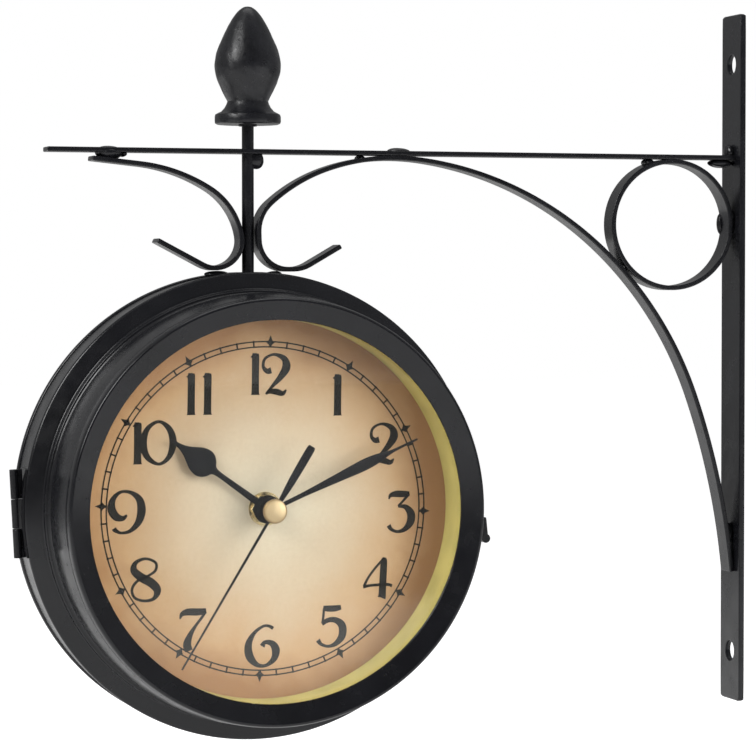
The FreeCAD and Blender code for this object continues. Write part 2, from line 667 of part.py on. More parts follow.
def catch_pieces():
    """Lever on a pin in a small bracket at 3 o'clock; its rounded lower end is the thumb piece."""
    pivot = CLOCK_CENTRE + Vector(CATCH_PIVOT_R, 0, CATCH_PIVOT_W)
    half, cheek, play = CATCH_WIDTH / 2, 1.3, 0.2
    pin_end = half + cheek + play
    pin = Part.makeCylinder(CATCH_PIN_R, 2 * pin_end, pivot - Vector(0, pin_end, 0), Y_AXIS)
    base = local_block(90.0, CATCH_PIVOT_R + 1.2, CATCH_PIVOT_W - 2.0, CATCH_PIVOT_W + 4.5,
                       -half - cheek, half + cheek)
    base = base.cut(disc(BAND_R, -30, 30))
    slot = local_block(80.0, 120.0, CATCH_PIVOT_W - 6.0, CATCH_PIVOT_W + 2.2, -half - play, half + play)
    bracket = base.cut(slot).cut(pin)

    # Side view of the blade as (outward, upward) points from the pivot.
    side_view = [(-1.0, 1.2), (1.0, 1.2), (2.6, -7.0), (3.4, -CATCH_LENGTH), (1.8, -CATCH_LENGTH),
                 (0.6, -7.0), (-1.0, -2.0)]
    front = -half - CATCH_REACH
    corners = [pivot + Vector(x, front, z) for x, z in side_view]
    full_width = Vector(0, CATCH_WIDTH + CATCH_REACH, 0)
    blade = Part.Face(Part.makePolygon(corners + corners[:1])).extrude(full_width)
    beside_bracket = block(pivot.x - 5, pivot.x + 5, front - 1, -half, pivot.z - 6.0, pivot.z + 5)
    barrel = Part.makeCylinder(1.7, CATCH_WIDTH, pivot - Vector(0, half, 0), Y_AXIS)
    curl = Part.makeCylinder(1.9, full_width.y, pivot + Vector(2.4, front, -CATCH_LENGTH), Y_AXIS)
    lever = fuse_all([blade.cut(beside_bracket), barrel, curl])
    lever = lever.cut(Part.makeCylinder(CATCH_PIN_R + RUNNING_GAP, 40, pivot - Vector(0, 20, 0), Y_AXIS))
    return bracket, pin, lever


# ---------------------------------------------------------------- bracket
arch = arch_strip()
scroll = left_scroll()
ring = support_ring()
bar_on_wall = wall_bar()
arm = top_bar()
rod = post()
band = case_band()

# Weld beads in the order they are met from the wall outwards, as (x, z, size x, size z, size y, y).
ring_z = TOP_BAR_UNDER_Z - RING_OUTER_R
touch = math.radians(222)
touch_x = RING_X + (RING_OUTER_R + 0.5) * math.cos(touch)
touch_z = ring_z + (RING_OUTER_R + 0.5) * math.sin(touch)
on_face = -WALL_BAR_THICK
on_drum = CLOCK_Z + BAND_R - 0.2
BEADS = [(on_face - 5.5, TOP_BAR_UNDER_Z - 1.5, 11.0, 3.6, 9.0),
         (on_face - 1.1, TOP_BAR_TOP_Z + 1.5, 4.2, 6.5, 7.0),
         (on_face - 1.4, -77.0, 4.6, 10.0, 8.0),
         (on_face - 0.7, ring_z + 4.0, 3.2, 5.0, 8.0),
         (on_face - 0.7, ring_z - 1.5, 3.2, 3.0, 8.0),
         (RING_X + 26.2, ring_z + 0.8, 2.4, 9.0, 3.5, 4.8),
         (RING_X - 10.0, TOP_BAR_UNDER_Z - 1.6, 5.0, 4.0, 8.0),
         (touch_x, touch_z, 3.2, 5.4, 7.0),
         (ARCH_WELD_X + 3.0, TOP_BAR_TOP_Z - 0.1, 9.6, 3.0, 9.0),
         (ARCH_WELD_X - 14.0, TOP_BAR_UNDER_Z - 1.3, 4.0, 2.8, 9.0),
         (POST_X + 3.2, TOP_BAR_UNDER_Z - 2.3, 7.0, 8.0, 5.0),
         (POST_X + 11.1, on_drum, 7.0, 2.8, 8.0),
         (POST_X - 13.5, on_drum, 10.0, 3.0, 8.0),
         (LEFT_START[0] + 7.8, TOP_BAR_UNDER_Z - 0.2, 11.4, 5.8, 11.2),
         (LEFT_START[0] + 13.6, TOP_BAR_UNDER_Z - 0.6, 3.0, 2.4, 8.0)]
SLIVER = 0.5
beads = []
for place in BEADS:
    lump = bead(*place)
    for piece in (bar_on_wall, arm, arch, scroll, ring, rod, band):
        lump = lump.cut(piece)
    beads += [solid for solid in lump.Solids if solid.Volume > SLIVER]

save("wall_bar", bar_on_wall)
save("top_bar", arm)
save("arch_strip", arch)
save("left_scroll", scroll)
save("support_ring", ring)
save("weld_beads", Part.makeCompound(beads))
save("post", rod)
save("finial", finial())
save("post_nut", post_nut())

# ---------------------------------------------------------------- drum and door
save("case_band", band)
case_leaf, door_leaf, hinge_pin = hinge_pieces()
save("hinge_case_leaf", case_leaf)
save("hinge_door_leaf", door_leaf)
save("hinge_pin", hinge_pin)
bracket, catch_pin, lever = catch_pieces()
save("catch_bracket", bracket)
save("catch_pin", catch_pin)
save("catch_lever", lever)

both_sides = {"bezel": front_bezel, "lens": lens, "depth_ring": depth_ring, "dial": dial,
              "dial_clips": dial_clips, "movement_case": movement_case, "movement_cover": movement_cover,
              "drive_unit": drive_unit, "battery": battery, "battery_contacts": battery_contacts,
              "bush_washer": bush_washer, "bush_nut": bush_nut, "minute_arbor": minute_arbor,
              "minute_wheel": minute_wheel, "hour_wheel": hour_wheel, "second_arbor": second_arbor,
              "setting_knob": setting_knob, "hour_hand": hour_hand, "minute_hand": minute_hand,
              "second_hand": second_hand, "centre_cap": centre_cap}
for name, make in both_sides.items():
    piece = make()
    save("front_" + name, piece)
    save("rear_" + name, to_rear(piece))
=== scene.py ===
"""Double sided station clock on a wall bracket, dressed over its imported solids.

Lengths in this file are in millimetres unless a name ends in _M, and become metres where a mesh is made.
+Z is up, the wall is the plane x = 0 and the front dial faces -Y. On a dial, u is to the right, w is up
and d is the distance from the drum's middle plane towards that dial.
"""
import json
import math

import bmesh
import bpy
import numpy as np
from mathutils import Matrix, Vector

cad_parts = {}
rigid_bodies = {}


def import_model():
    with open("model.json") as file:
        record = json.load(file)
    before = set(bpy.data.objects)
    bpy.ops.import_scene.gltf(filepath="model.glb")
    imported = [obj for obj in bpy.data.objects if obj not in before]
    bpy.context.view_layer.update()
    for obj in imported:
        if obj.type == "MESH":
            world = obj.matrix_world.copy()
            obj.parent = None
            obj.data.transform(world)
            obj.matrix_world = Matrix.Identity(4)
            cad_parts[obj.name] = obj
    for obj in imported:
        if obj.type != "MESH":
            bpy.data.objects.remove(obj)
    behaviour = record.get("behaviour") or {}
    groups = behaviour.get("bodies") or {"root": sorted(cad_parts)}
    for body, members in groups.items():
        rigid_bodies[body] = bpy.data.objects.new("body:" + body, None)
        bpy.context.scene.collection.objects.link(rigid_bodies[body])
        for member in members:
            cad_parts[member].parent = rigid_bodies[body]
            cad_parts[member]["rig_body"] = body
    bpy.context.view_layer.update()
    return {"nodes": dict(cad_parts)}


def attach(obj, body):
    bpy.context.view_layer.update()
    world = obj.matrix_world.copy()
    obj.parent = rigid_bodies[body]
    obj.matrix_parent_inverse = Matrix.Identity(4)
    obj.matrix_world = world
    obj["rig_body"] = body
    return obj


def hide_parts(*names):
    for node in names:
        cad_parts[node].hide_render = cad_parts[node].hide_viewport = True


bl_info = {
    "name": "Station clock",
    "version": (1, 0, 0),
    "blender": (4, 5, 0),
    "location": "View3D > Sidebar > Station clock",
    "description": "Builds the visible surfaces of a double sided station clock",
    "category": "Object",
}

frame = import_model()
NODES = frame["nodes"]
MM = 0.001
FRONT, REAR = 1, -1
SIDES = {"front": FRONT, "rear": REAR}
FIXED_BODY = "bracket"
INNER_BODY = {"front": "front_door", "rear": FIXED_BODY}

# ---------------------------------------------------------------- sizes shared with the solids
POST_X = -221.5
CLOCK_Z = -59.4
DRUM = np.array([POST_X, 0.0, CLOCK_Z])
WALL_BAR = {"length": 300.0, "width": 20.0, "thick": 2.5, "hole_z": 128.5, "hole_r": 4.25}
STRIP_WIDTH, STRIP_THICK = 10.0, 2.0
TOP_BAR_END_X, TOP_BAR_TOP_Z = -307.0, 88.7
STRIP_LINE_Z = TOP_BAR_TOP_Z - 1.5 * STRIP_THICK
RING_R, RING_X = 28.4, -32.0
RING_Z = TOP_BAR_TOP_Z - STRIP_THICK - RING_R
ARCH_X = -158.7
ARCH_BENDS = [(104.0, -7.8), (151.0, -35.0), (158.2, -27.1), (317.8, -14.4)]
CURL_BENDS = [(89.8, 19.3), (71.5, 22.7), (15.9, 50.0), (None, 3.18), (12.4, 88.0), (None, 2.53),
              (14.0, 29.9), (None, 15.6)]
LEFT_START = (-288.3, 84.2, -6.0)
LEFT_BENDS = [(None, 20.5), (69.9, -25.5), (28.9, -48.5), (11.3, -127.6), (None, 21.9)]
POST_R, POST_FOOT_Z, POST_TOP_Z = 2.5, 22.0, 116.0
FINIAL_Z = 99.0
BAND_R, BAND_HALF, SHEET = 96.2, 8.7, 1.2
RIM_R = 97.0
DIAL_FACE = 26.0
LENS_R, LENS_BACK, LENS_FRONT = 83.4, 44.8, 46.8
WELL_R = 78.0
HAND_SHEET = 0.5
HOUR_HAND = {"angle": 305.8, "depth": 29.3, "hub": 5.8, "bore": 2.6}
MINUTE_HAND = {"angle": 65.8, "depth": 35.4, "hub": 5.2, "bore": 1.7}
SECOND_HAND = {"angle": 211.5, "depth": 40.4, "hub": 4.4, "bore": 0.7}
CAP_R = 5.0
PAINTED = "black_painted_steel"

# Camera of the photograph, in metres
CAMERA_M = (-0.55191, -1.23448, 0.03376)
CAMERA_AIM = (0.29921, 0.95375, -0.02900)
CAMERA_LENS = 145.68


# ---------------------------------------------------------------- settings a user would change
def colour_setting(name, description, default):
    """Colour property of three channels."""
    return bpy.props.FloatVectorProperty(name=name, description=description, subtype="COLOR", size=3, min=0,
                                         max=1, default=default)
class StationClockPaint(bpy.types.PropertyGroup):
    """Colours and finish of the painted steel."""

    colour: colour_setting("Paint", "Colour of the paint on the bracket and drum", (0.0068, 0.0070, 0.0086))
    roughness: bpy.props.FloatProperty(
        name="Roughness", description="Mean roughness of the paint", subtype="FACTOR",
        min=0, max=1, default=0.23)
    edge: bpy.props.FloatProperty(
        name="Eased edge", description="Radius of the bars' eased edges, in millimetres",
        min=0.05, max=0.9, default=0.45)


class StationClockDial(bpy.types.PropertyGroup):
    """Colours of the dials and their print."""

    middle: colour_setting("Middle", "Paper colour in the middle of the dial", (0.69, 0.605, 0.475))
    # The rim colour is partly aged paper and partly painted shade of the bezel's wall at the dial's edge.
    rim: colour_setting("Rim", "Paper colour at the dial's rim", (0.35, 0.18, 0.08))
    stain: colour_setting("Stain", "Colour of the blotches between middle and rim", (0.53, 0.335, 0.185))
    ink: colour_setting("Ink", "Colour of the printed numerals and minute track", (0.012, 0.011, 0.010))
    well: colour_setting("Depth ring", "Colour of the ring between dial and glass", (0.53, 0.455, 0.15))
    track_r: bpy.props.FloatProperty(
        name="Track radius", description="Radius of the minute track's outer line, in millimetres",
        min=50, max=75, default=68.5)


class StationClockStudio(bpy.types.PropertyGroup):
    """Floor and lamps."""

    floor_z: bpy.props.FloatProperty(
        name="Floor height", description="Height of the studio floor", subtype="DISTANCE",
        unit="LENGTH", default=-0.32)
    key_power: bpy.props.FloatProperty(
        name="Key lamp", description="Power of the large lamp on the left", unit="POWER",
        min=0, default=24.0)
    surround: bpy.props.FloatProperty(
        name="Surround", description="Strength of the pale surround", min=0, max=2, default=0.29)


# ---------------------------------------------------------------- surfaces from arrays
def grid_quads(rows, cols, wrap_rows, wrap_cols):
    """Quads of a rows by cols grid: point (i, j) is joined to (i + 1, j) and (i, j + 1), round the back where
    that direction is closed."""
    i, j = np.meshgrid(np.arange(rows if wrap_rows else rows - 1),
                       np.arange(cols if wrap_cols else cols - 1), indexing="ij")
    down, right = (i + 1) % rows, (j + 1) % cols
    corners = [i * cols + j, down * cols + j, down * cols + right, i * cols + right]
    return np.stack(corners, -1).reshape(-1, 4)


def eased(corners, radius, steps=3, hold=0.15):
    """Closed outline with rounded corners, from an array of (a, b) corners.

    Each corner c turns into the curve (1-t)^2 p + 2 t (1-t) c + t^2 q, where p and q lie on its two sides at
    the easing radius. One more point beyond p and beyond q keeps the flats flat under smooth shading."""
    c = np.asarray(corners, float)
    radius = np.broadcast_to(np.asarray(radius, float), len(c))
    before, after = np.roll(c, 1, 0) - c, np.roll(c, -1, 0) - c
    lengths = [np.linalg.norm(side, axis=1) for side in (before, after)]
    back = np.minimum(radius, 0.46 * np.minimum(*lengths))
    units = [side / np.maximum(length, 1e-9)[:, None] for side, length in zip((before, after), lengths)]
    p, q = [c + unit * back[:, None] for unit in units]
    beyond = [np.minimum(hold, 0.03 * length)[:, None] for length in lengths]
    t = np.linspace(0, 1, steps + 1)[None, :, None]
    curve = (1 - t) ** 2 * p[:, None] + 2 * t * (1 - t) * c[:, None] + t ** 2 * q[:, None]
    first, last = (p + units[0] * beyond[0])[:, None], (q + units[1] * beyond[1])[:, None]
    return np.concatenate([first, curve, last], 1).reshape(-1, 2)


def stepped_profile(steps, radius=0.25, arc_points=5):
    """Corners of a profile given as (r, h) for a line to that point, or (r_mid, h_mid, r, h) for a curve.

    A curve is the parabola through its two ends and its middle point. Returns eased corners."""
    corners, radii = [steps[0]], [radius]
    t = np.linspace(0, 1, arc_points + 1)[1:]
    for step in steps[1:]:
        if len(step) == 2:
            corners.append(step)
            radii.append(radius)
            continue
        start, mid, end = np.array(corners[-1]), np.array(step[:2]), np.array(step[2:])
        pull = 2 * mid - (start + end) / 2
        curve = ((1 - t) ** 2)[:, None] * start + (2 * t * (1 - t))[:, None] * pull + (t ** 2)[:, None] * end
        corners += [tuple(point) for point in curve]
        radii += [9.0] * (len(t) - 1) + [radius]
    return eased(corners, radii)


def frame_about(axis):
    """Two unit vectors square to an axis and to each other."""
    axis = np.asarray(axis, float) / np.linalg.norm(axis)
    helper = np.array([0.0, 0.0, 1.0]) if abs(axis[2]) < 0.9 else np.array([1.0, 0.0, 0.0])
    first = np.cross(axis, helper)
    first /= np.linalg.norm(first)
    return axis, first, np.cross(axis, first)


def turned(profile, origin, axis, segments=96):
    """Profile of (r, h) points carried round an axis: at angle a the point is
    origin + h axis + r (cos a e1 + sin a e2)."""
    axis, e1, e2 = frame_about(axis)
    r, h = np.asarray(profile, float).T
    a = np.linspace(0, 2 * np.pi, segments, endpoint=False)[:, None, None]
    spoke = np.cos(a) * e1 + np.sin(a) * e2
    points = np.asarray(origin, float) + h[None, :, None] * axis + r[None, :, None] * spoke
    return points, True, True


def swept(section, places, first, second, ease=0.0, capped=True):
    """Closed section of (a, b) points carried along places: a runs along first, b along second.

    With an ease, the section shrinks over the last rings as inset = ease - sqrt(ease^2 - (ease - s)^2) at
    distance s from the end, and a capped end closes on one point."""
    section = np.asarray(section, float)
    places, first, second = [np.asarray(v, float) for v in (places, first, second)]
    count = len(places)
    scale_a = np.ones((count, 1))
    scale_b = np.ones((count, 1))
    if ease > 0:
        travel = np.concatenate([[0], np.cumsum(np.linalg.norm(np.diff(places, axis=0), axis=1))])
        near = np.clip(np.minimum(travel, travel[-1] - travel), 0, ease)
        inset = (ease - np.sqrt(np.maximum(ease ** 2 - (ease - near) ** 2, 0)))[:, None]
        half = np.abs(section).max(0)
        scale_a, scale_b = 1 - inset / half[0], 1 - inset / half[1]
    a, b = section[:, 0][None] * scale_a, section[:, 1][None] * scale_b
    points = places[:, None] + a[..., None] * first[:, None] + b[..., None] * second[:, None]
    if capped:
        ends = [np.repeat(places[k][None, None], len(section), 1) for k in (0, -1)]
        points = np.concatenate([ends[0], points, ends[1]], 0)
    return points, False, True


def with_end_rings(travel, ease):
    """Sorted distances along a path with extra rings close to both ends, where swept shrinks the section."""
    near = ease * np.array([0.0, 0.06, 0.25, 0.6, 1.0, 1.6])
    total = travel[-1]
    inner = travel[(travel > near[-1] + 0.3) & (travel < total - near[-1] - 0.3)]
    return np.concatenate([near, inner, (total - near)[::-1]])


def straight_bar(section, start, end, first, second, ease):
    """Section carried along the straight line from start to end."""
    start, end = np.asarray(start, float), np.asarray(end, float)
    length = np.linalg.norm(end - start)
    s = with_end_rings(np.linspace(0, length, max(3, int(length / 6) + 2)), ease)
    places = start + (end - start) * (s / length)[:, None]
    ones = np.ones((len(s), 1))
    return swept(section, places, ones * np.asarray(first), ones * np.asarray(second), ease)


def rectangle(size_a, size_b, ease):
    """Eased rectangle about the origin."""
    a, b = size_a / 2, size_b / 2
    return eased([(-a, -b), (a, -b), (a, b), (-a, b)], ease)


def bent_line(x, z, heading, runs, step=1.5):
    """Middle line of a bent strip: arrays of x, z and heading.

    A run (radius, turn) has the heading h + s/R at distance s, so x is the integral of its cosine and z of
    its sine in closed form; a run (None, length) is straight."""
    h = math.radians(heading)
    xs, zs, hs = [np.array([x])], [np.array([z])], [np.array([h])]
    for radius, amount in runs:
        length = amount if radius is None else radius * abs(math.radians(amount))
        bend = 0.0 if radius is None else math.copysign(1 / radius, amount)
        s = np.linspace(0, length, max(2, int(length / step) + 1))[1:]
        turn = h + bend * s
        if bend:
            xs.append(x + (np.sin(turn) - math.sin(h)) / bend)
            zs.append(z - (np.cos(turn) - math.cos(h)) / bend)
        else:
            xs.append(x + s * math.cos(h))
            zs.append(z + s * math.sin(h))
        hs.append(turn)
        x, z, h = xs[-1][-1], zs[-1][-1], hs[-1][-1]
    return np.concatenate(xs), np.concatenate(zs), np.concatenate(hs)


def strip_along(x, z, heading, ease):
    """Flat steel strip, 10 by 2, along a line in the bracket's plane."""
    travel = np.concatenate([[0], np.cumsum(np.hypot(np.diff(x), np.diff(z)))])
    s = with_end_rings(travel, ease)
    x, z, heading = [np.interp(s, travel, v) for v in (x, z, np.unwrap(heading))]
    places = np.stack([x, np.zeros_like(x), z], 1)
    across = np.tile([0.0, 1.0, 0.0], (len(s), 1))
    outward = np.stack([-np.sin(heading), np.zeros_like(x), np.cos(heading)], 1)
    return swept(rectangle(STRIP_WIDTH, STRIP_THICK, ease), places, across, outward, ease)


def smooth_line(points, per=6, closed=False):
    """Catmull-Rom curve through the rows of an array, per samples to a span.

    At t in a span it is 0.5 (2 p1 + (p2-p0) t + (2 p0-5 p1+4 p2-p3) t^2 + (3 p1-p0-3 p2+p3) t^3)."""
    p = np.asarray(points, float)
    if closed:
        p0, p1, p2, p3 = np.roll(p, 1, 0), p, np.roll(p, -1, 0), np.roll(p, -2, 0)
    else:
        full = np.concatenate([[2 * p[0] - p[1]], p, [2 * p[-1] - p[-2]]])
        p0, p1, p2, p3 = full[:-3], full[1:-2], full[2:-1], full[3:]
    t = np.arange(per)[:, None, None] / per
    curve = 0.5 * (2 * p1 + (p2 - p0) * t + (2 * p0 - 5 * p1 + 4 * p2 - p3) * t ** 2
                   + (3 * p1 - p0 - 3 * p2 + p3) * t ** 3)
    curve = curve.transpose(1, 0, 2).reshape(-1, p.shape[1])
    return curve if closed else np.concatenate([curve, p[-1:]])


# ---------------------------------------------------------------- meshes and objects
def mesh_from(name, grids):
    """One mesh in metres from (points, wrap_rows, wrap_cols) grids in millimetres, its poles and seams
    merged, its faces outwards and its sharp edges marked."""
    verts, quads, start = [], [], 0
    for points, wrap_rows, wrap_cols in grids:
        rows, cols = points.shape[:2]
        verts.append(points.reshape(-1, 3) * MM)
        quads.append(grid_quads(rows, cols, wrap_rows, wrap_cols) + start)
        start += rows * cols
    verts, quads = np.concatenate(verts), np.concatenate(quads)
    mesh = bpy.data.meshes.new(name)
    mesh.vertices.add(len(verts))
    mesh.vertices.foreach_set("co", verts.astype(np.float32).ravel())
    mesh.loops.add(quads.size)
    mesh.loops.foreach_set("vertex_index", quads.astype(np.int32).ravel())
    mesh.polygons.add(len(quads))
    mesh.polygons.foreach_set("loop_start", np.arange(0, quads.size, 4, dtype=np.int32))
    mesh.update(calc_edges=True)

    def close(bm):
        bmesh.ops.dissolve_degenerate(bm, edges=bm.edges, dist=1e-7)
        bmesh.ops.recalc_face_normals(bm, faces=bm.faces)

    merged(mesh, close, 40)
    return mesh


def merged(mesh, mend, sharp_degrees):
    """Merge doubled points, mend the mesh further, and shade it smooth between its sharp edges."""
    bm = bmesh.new()
    bm.from_mesh(mesh)
    bmesh.ops.remove_doubles(bm, verts=bm.verts, dist=2e-6)
    mend(bm)
    bm.to_mesh(mesh)
    bm.free()
    mesh.polygons.foreach_set("use_smooth", np.ones(len(mesh.polygons), bool))
    mesh.set_sharp_from_angle(angle=math.radians(sharp_degrees))


def piece(name, mesh, material, body):
    """Object of a mesh with one material, riding on a body."""
    mesh.materials.clear()
    mesh.materials.append(material)
    obj = bpy.data.objects.new(name, mesh)
    bpy.context.scene.collection.objects.link(obj)
    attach(obj, body)
    return obj


def stand_in(node, mesh, material):
    """Piece that stands for one solid, on that solid's body."""
    obj = piece(node + "_skin", mesh, material, NODES[node]["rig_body"])
    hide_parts(node)
    return obj


def skin(node, grids, material):
    """New surface in place of one solid."""
    stand_in(node, mesh_from(node + "_skin", grids), material)


def dressed(node, material, finish, ease=0.12):
    """Copy of a solid's mesh with merged points, flat faces made whole and its sharp edges eased."""
    mesh = NODES[node].data.copy()
    mesh.name = node + "_skin"

    def make_whole(bm):
        bmesh.ops.dissolve_limit(bm, angle_limit=math.radians(0.4), verts=bm.verts, edges=bm.edges)

    merged(mesh, make_whole, 32)
    obj = stand_in(node, mesh, material)
    if ease:
        bevel = obj.modifiers.new("Eased edges", "BEVEL")
        bevel.width = ease * MM
        bevel.segments = 2
        bevel.limit_method = "ANGLE"
        bevel.angle_limit = math.radians(35)
        bevel.harden_normals = True


def fan_ends(rings):
    """Rings of points with their first and last ring closed on its own middle."""
    first, last = [np.repeat(rings[k].mean(0)[None, None], rings.shape[1], 1) for k in (0, -1)]
    return np.concatenate([first, rings, last], 0)


def on_dial(u, w, d, side):
    """Points in the row frame from dial coordinates; the rear dial is turned half round the post."""
    u, w, d = np.broadcast_arrays(np.asarray(u, float), np.asarray(w, float), np.asarray(d, float))
    return np.stack([POST_X + side * u, -side * d, CLOCK_Z + w], -1)


def about_drum(profile, side, segments=288):
    """Profile of (r, d) points turned about the drum's axis, d towards the given dial."""
    return turned(profile, DRUM, (0, -side, 0), segments)


# ---------------------------------------------------------------- materials
class Nodes:
    """Small builder for one node tree."""

    def __init__(self, tree):
        self.nodes, self.links = tree.nodes, tree.links

    def add(self, kind, inputs=(), **settings):
        """Node with settings, and inputs given as (socket, value or output)."""
        node = self.nodes.new(kind)
        for key, value in settings.items():
            setattr(node, key, value)
        for socket, value in inputs:
            if isinstance(value, bpy.types.NodeSocket):
                self.links.new(value, node.inputs[socket])
            else:
                node.inputs[socket].default_value = value
        return node

    def math(self, operation, a, b=0.0):
        """One arithmetic step."""
        return self.add("ShaderNodeMath", [(0, a), (1, b)], operation=operation).outputs[0]

    def vector(self, operation, a, b=(0, 0, 0), output="Vector"):
        """One step on vectors."""
        return self.add("ShaderNodeVectorMath", [(0, a), (1, b)], operation=operation).outputs[output]

    def spread(self, factor, low, high, from_low=0.3, from_high=0.7, **settings):
        """Factor carried from one range into another."""
        node = self.add("ShaderNodeMapRange", [
            ("Value", factor), ("From Min", from_low), ("From Max", from_high), ("To Min", low),
            ("To Max", high)], **settings)
        return node.outputs["Result"]


class Finish(Nodes):
    """One procedural material on Object coordinates; made says that it wasn't there before."""

    def __init__(self, name, **constants):
        self.material = bpy.data.materials.get(name)
        self.made = self.material is None
        if not self.made:
            return
        self.material = bpy.data.materials.new(name)
        self.material.use_nodes = True
        super().__init__(self.material.node_tree)
        self.shader = self.nodes["Principled BSDF"]
        for key, value in constants.items():
            self.shader.inputs[key.replace("_", " ")].default_value = value
        self.coordinates = self.nodes.new("ShaderNodeTexCoord").outputs["Object"]

    def noise(self, size, detail=3.0, rough=0.5, vector=None, distortion=0.0):
        """Noise whose features are about size millimetres across."""
        node = self.add("ShaderNodeTexNoise", [
            ("Vector", vector or self.coordinates), ("Scale", 1 / (size * MM)), ("Detail", detail),
            ("Roughness", rough), ("Distortion", distortion)])
        return node.outputs["Fac"]

    def ramp(self, factor, stops):
        """Colour from a factor, through (place, colour) stops."""
        node = self.add("ShaderNodeValToRGB", [("Fac", factor)])
        elements = node.color_ramp.elements
        while len(elements) < len(stops):
            elements.new(0.5)
        for element, (place, colour) in zip(elements, stops):
            element.position = place
            element.color = (*colour, 1.0)
        return node.outputs["Color"]

    def tones(self, factor, base, *stops):
        """Colour from a factor, through (place, brightness of the base colour) stops."""
        return self.ramp(factor, [(place, tinted(base, bright)) for place, bright in stops])

    def mix(self, factor, a, b, blend="MIX"):
        """Mix of two colours."""
        node = self.add("ShaderNodeMix", data_type="RGBA", blend_type=blend)
        sockets = {"Factor_Float": factor, "A_Color": a, "B_Color": b}
        for socket in node.inputs:
            value = sockets.get(socket.identifier)
            if value is None:
                continue
            if isinstance(value, bpy.types.NodeSocket):
                self.links.new(value, socket)
            else:
                socket.default_value = value if socket.identifier == "Factor_Float" else (*value, 1.0)
        return next(out for out in node.outputs if out.identifier == "Result_Color")

    def centred(self, keep=(1, 1, 1)):
        """Object coordinates from the drum's middle, with the unwanted axes flattened."""
        moved = self.vector("SUBTRACT", self.coordinates, tuple(v * MM for v in DRUM))
        return self.vector("MULTIPLY", moved, keep)

    def from_axis(self, full):
        """Flat coordinates about the drum's axis, and the distance from it as a share of a full radius."""
        flat = self.centred((1, 0, 1))
        return flat, self.math("MULTIPLY", self.vector("LENGTH", flat, output="Value"), 1 / (full * MM))

    def along(self, axis, vector=None):
        """One coordinate of a vector."""
        parts = self.add("ShaderNodeSeparateXYZ", [("Vector", vector or self.coordinates)])
        return parts.outputs[axis]

    def colour(self, output):
        self.links.new(output, self.shader.inputs["Base Color"])

    def roughness(self, output):
        self.links.new(output, self.shader.inputs["Roughness"])

    def bump(self, height, depth, strength):
        """Relief of the given depth in millimetres."""
        node = self.add("ShaderNodeBump", [("Height", height), ("Strength", strength),
                                           ("Distance", depth * MM)])
        self.links.new(node.outputs["Normal"], self.shader.inputs["Normal"])


def tinted(colour, factor):
    """Colour made lighter or darker by a factor."""
    return tuple(min(1.0, channel * factor) for channel in colour)


def black_paint():
    """Satin black paint: faint flow in tone and gloss, fine orange peel and a few pale dust specks."""
    paint = bpy.context.scene.station_clock_paint
    f = Finish("Satin black paint", Specular_IOR_Level=0.42)
    if f.made:
        tone = f.tones(f.noise(26, 4), paint.colour, (0.3, 0.8), (0.7, 1.35))
        specks = f.add("ShaderNodeTexVoronoi", [("Vector", f.coordinates), ("Scale", 1 / (6.5 * MM))])
        dust = f.spread(specks.outputs["Distance"], 0.35, 0.0, 0.018, 0.032)
        f.colour(f.mix(dust, tone, (0.16, 0.155, 0.15)))
        f.roughness(f.spread(f.noise(9, 3), paint.roughness - 0.05, paint.roughness + 0.07))
        f.bump(f.noise(1.3, 2), 0.012, 0.6)
    return f.material


def cast_paint():
    """The same paint over a slightly rough casting: pits and pimples show through it."""
    paint = bpy.context.scene.station_clock_paint
    f = Finish("Black paint on casting", Specular_IOR_Level=0.45)
    if f.made:
        f.colour(f.tones(f.noise(7, 5), paint.colour, (0.3, 0.85), (0.72, 1.6)))
        f.roughness(f.spread(f.noise(2.5, 4), paint.roughness + 0.02, paint.roughness + 0.16))
        f.bump(f.math("ADD", f.noise(2.2, 4, 0.6), f.noise(0.7, 3, 0.6)), 0.09, 0.75)
    return f.material


def parchment():
    """Aged paper: pale middle, orange stains that grow outwards, faint fibres, and a brown rim that is partly
    aged paper and partly painted shade where the bezel's wall shades the dial's edge.

    The tone follows the distance from the dial's centre, warped by two scales of noise, so the painted shade
    darkens the paper towards the rim all round. The sheet's back is plain grey card."""
    dial = bpy.context.scene.station_clock_dial
    f = Finish("Aged parchment print", Roughness=0.62, Specular_IOR_Level=0.3)
    if f.made:
        flat, age_and_rim_shade = f.from_axis(WELL_R)
        for size, detail, rough, amount in ((45, 2, 0.5, 0.36), (7, 6, 0.62, 0.12)):
            swing = f.math("SUBTRACT", f.noise(size, detail, rough, flat, 0.4), 0.5)
            age_and_rim_shade = f.math("ADD", age_and_rim_shade, f.math("MULTIPLY", swing, amount))
        paler = tuple(0.55 * a + 0.45 * b for a, b in zip(dial.middle, dial.stain))
        # The last stop is partly aged brown paper and partly painted shade, darkening the dial towards its
        # rim.
        tone = f.ramp(age_and_rim_shade, [(0.08, dial.middle), (0.45, paler), (0.78, dial.stain), (0.97, dial.rim)])
        grain = f.ramp(f.noise(1.6, 5, 0.7, flat), [(0.35, (0.88, 0.86, 0.82)), (0.62, (1, 1, 1))])
        back = f.math("LESS_THAN", f.math("ABSOLUTE", f.along("Y")), (DIAL_FACE - 0.5) * MM)
        f.colour(f.mix(0.45, f.mix(back, tone, (0.52, 0.51, 0.48)), grain, "MULTIPLY"))
        f.bump(f.noise(0.8, 4, 0.6, flat), 0.02, 0.4)
    return f.material


def ink():
    """Print: almost black, thinned a little by the paper's grain."""
    f = Finish("Printed ink", Roughness=0.65, Specular_IOR_Level=0.1)
    if f.made:
        base = bpy.context.scene.station_clock_dial.ink
        f.colour(f.tones(f.noise(1.1, 4, 0.7), base, (0.35, 1.0), (0.8, 2.0)))
    return f.material


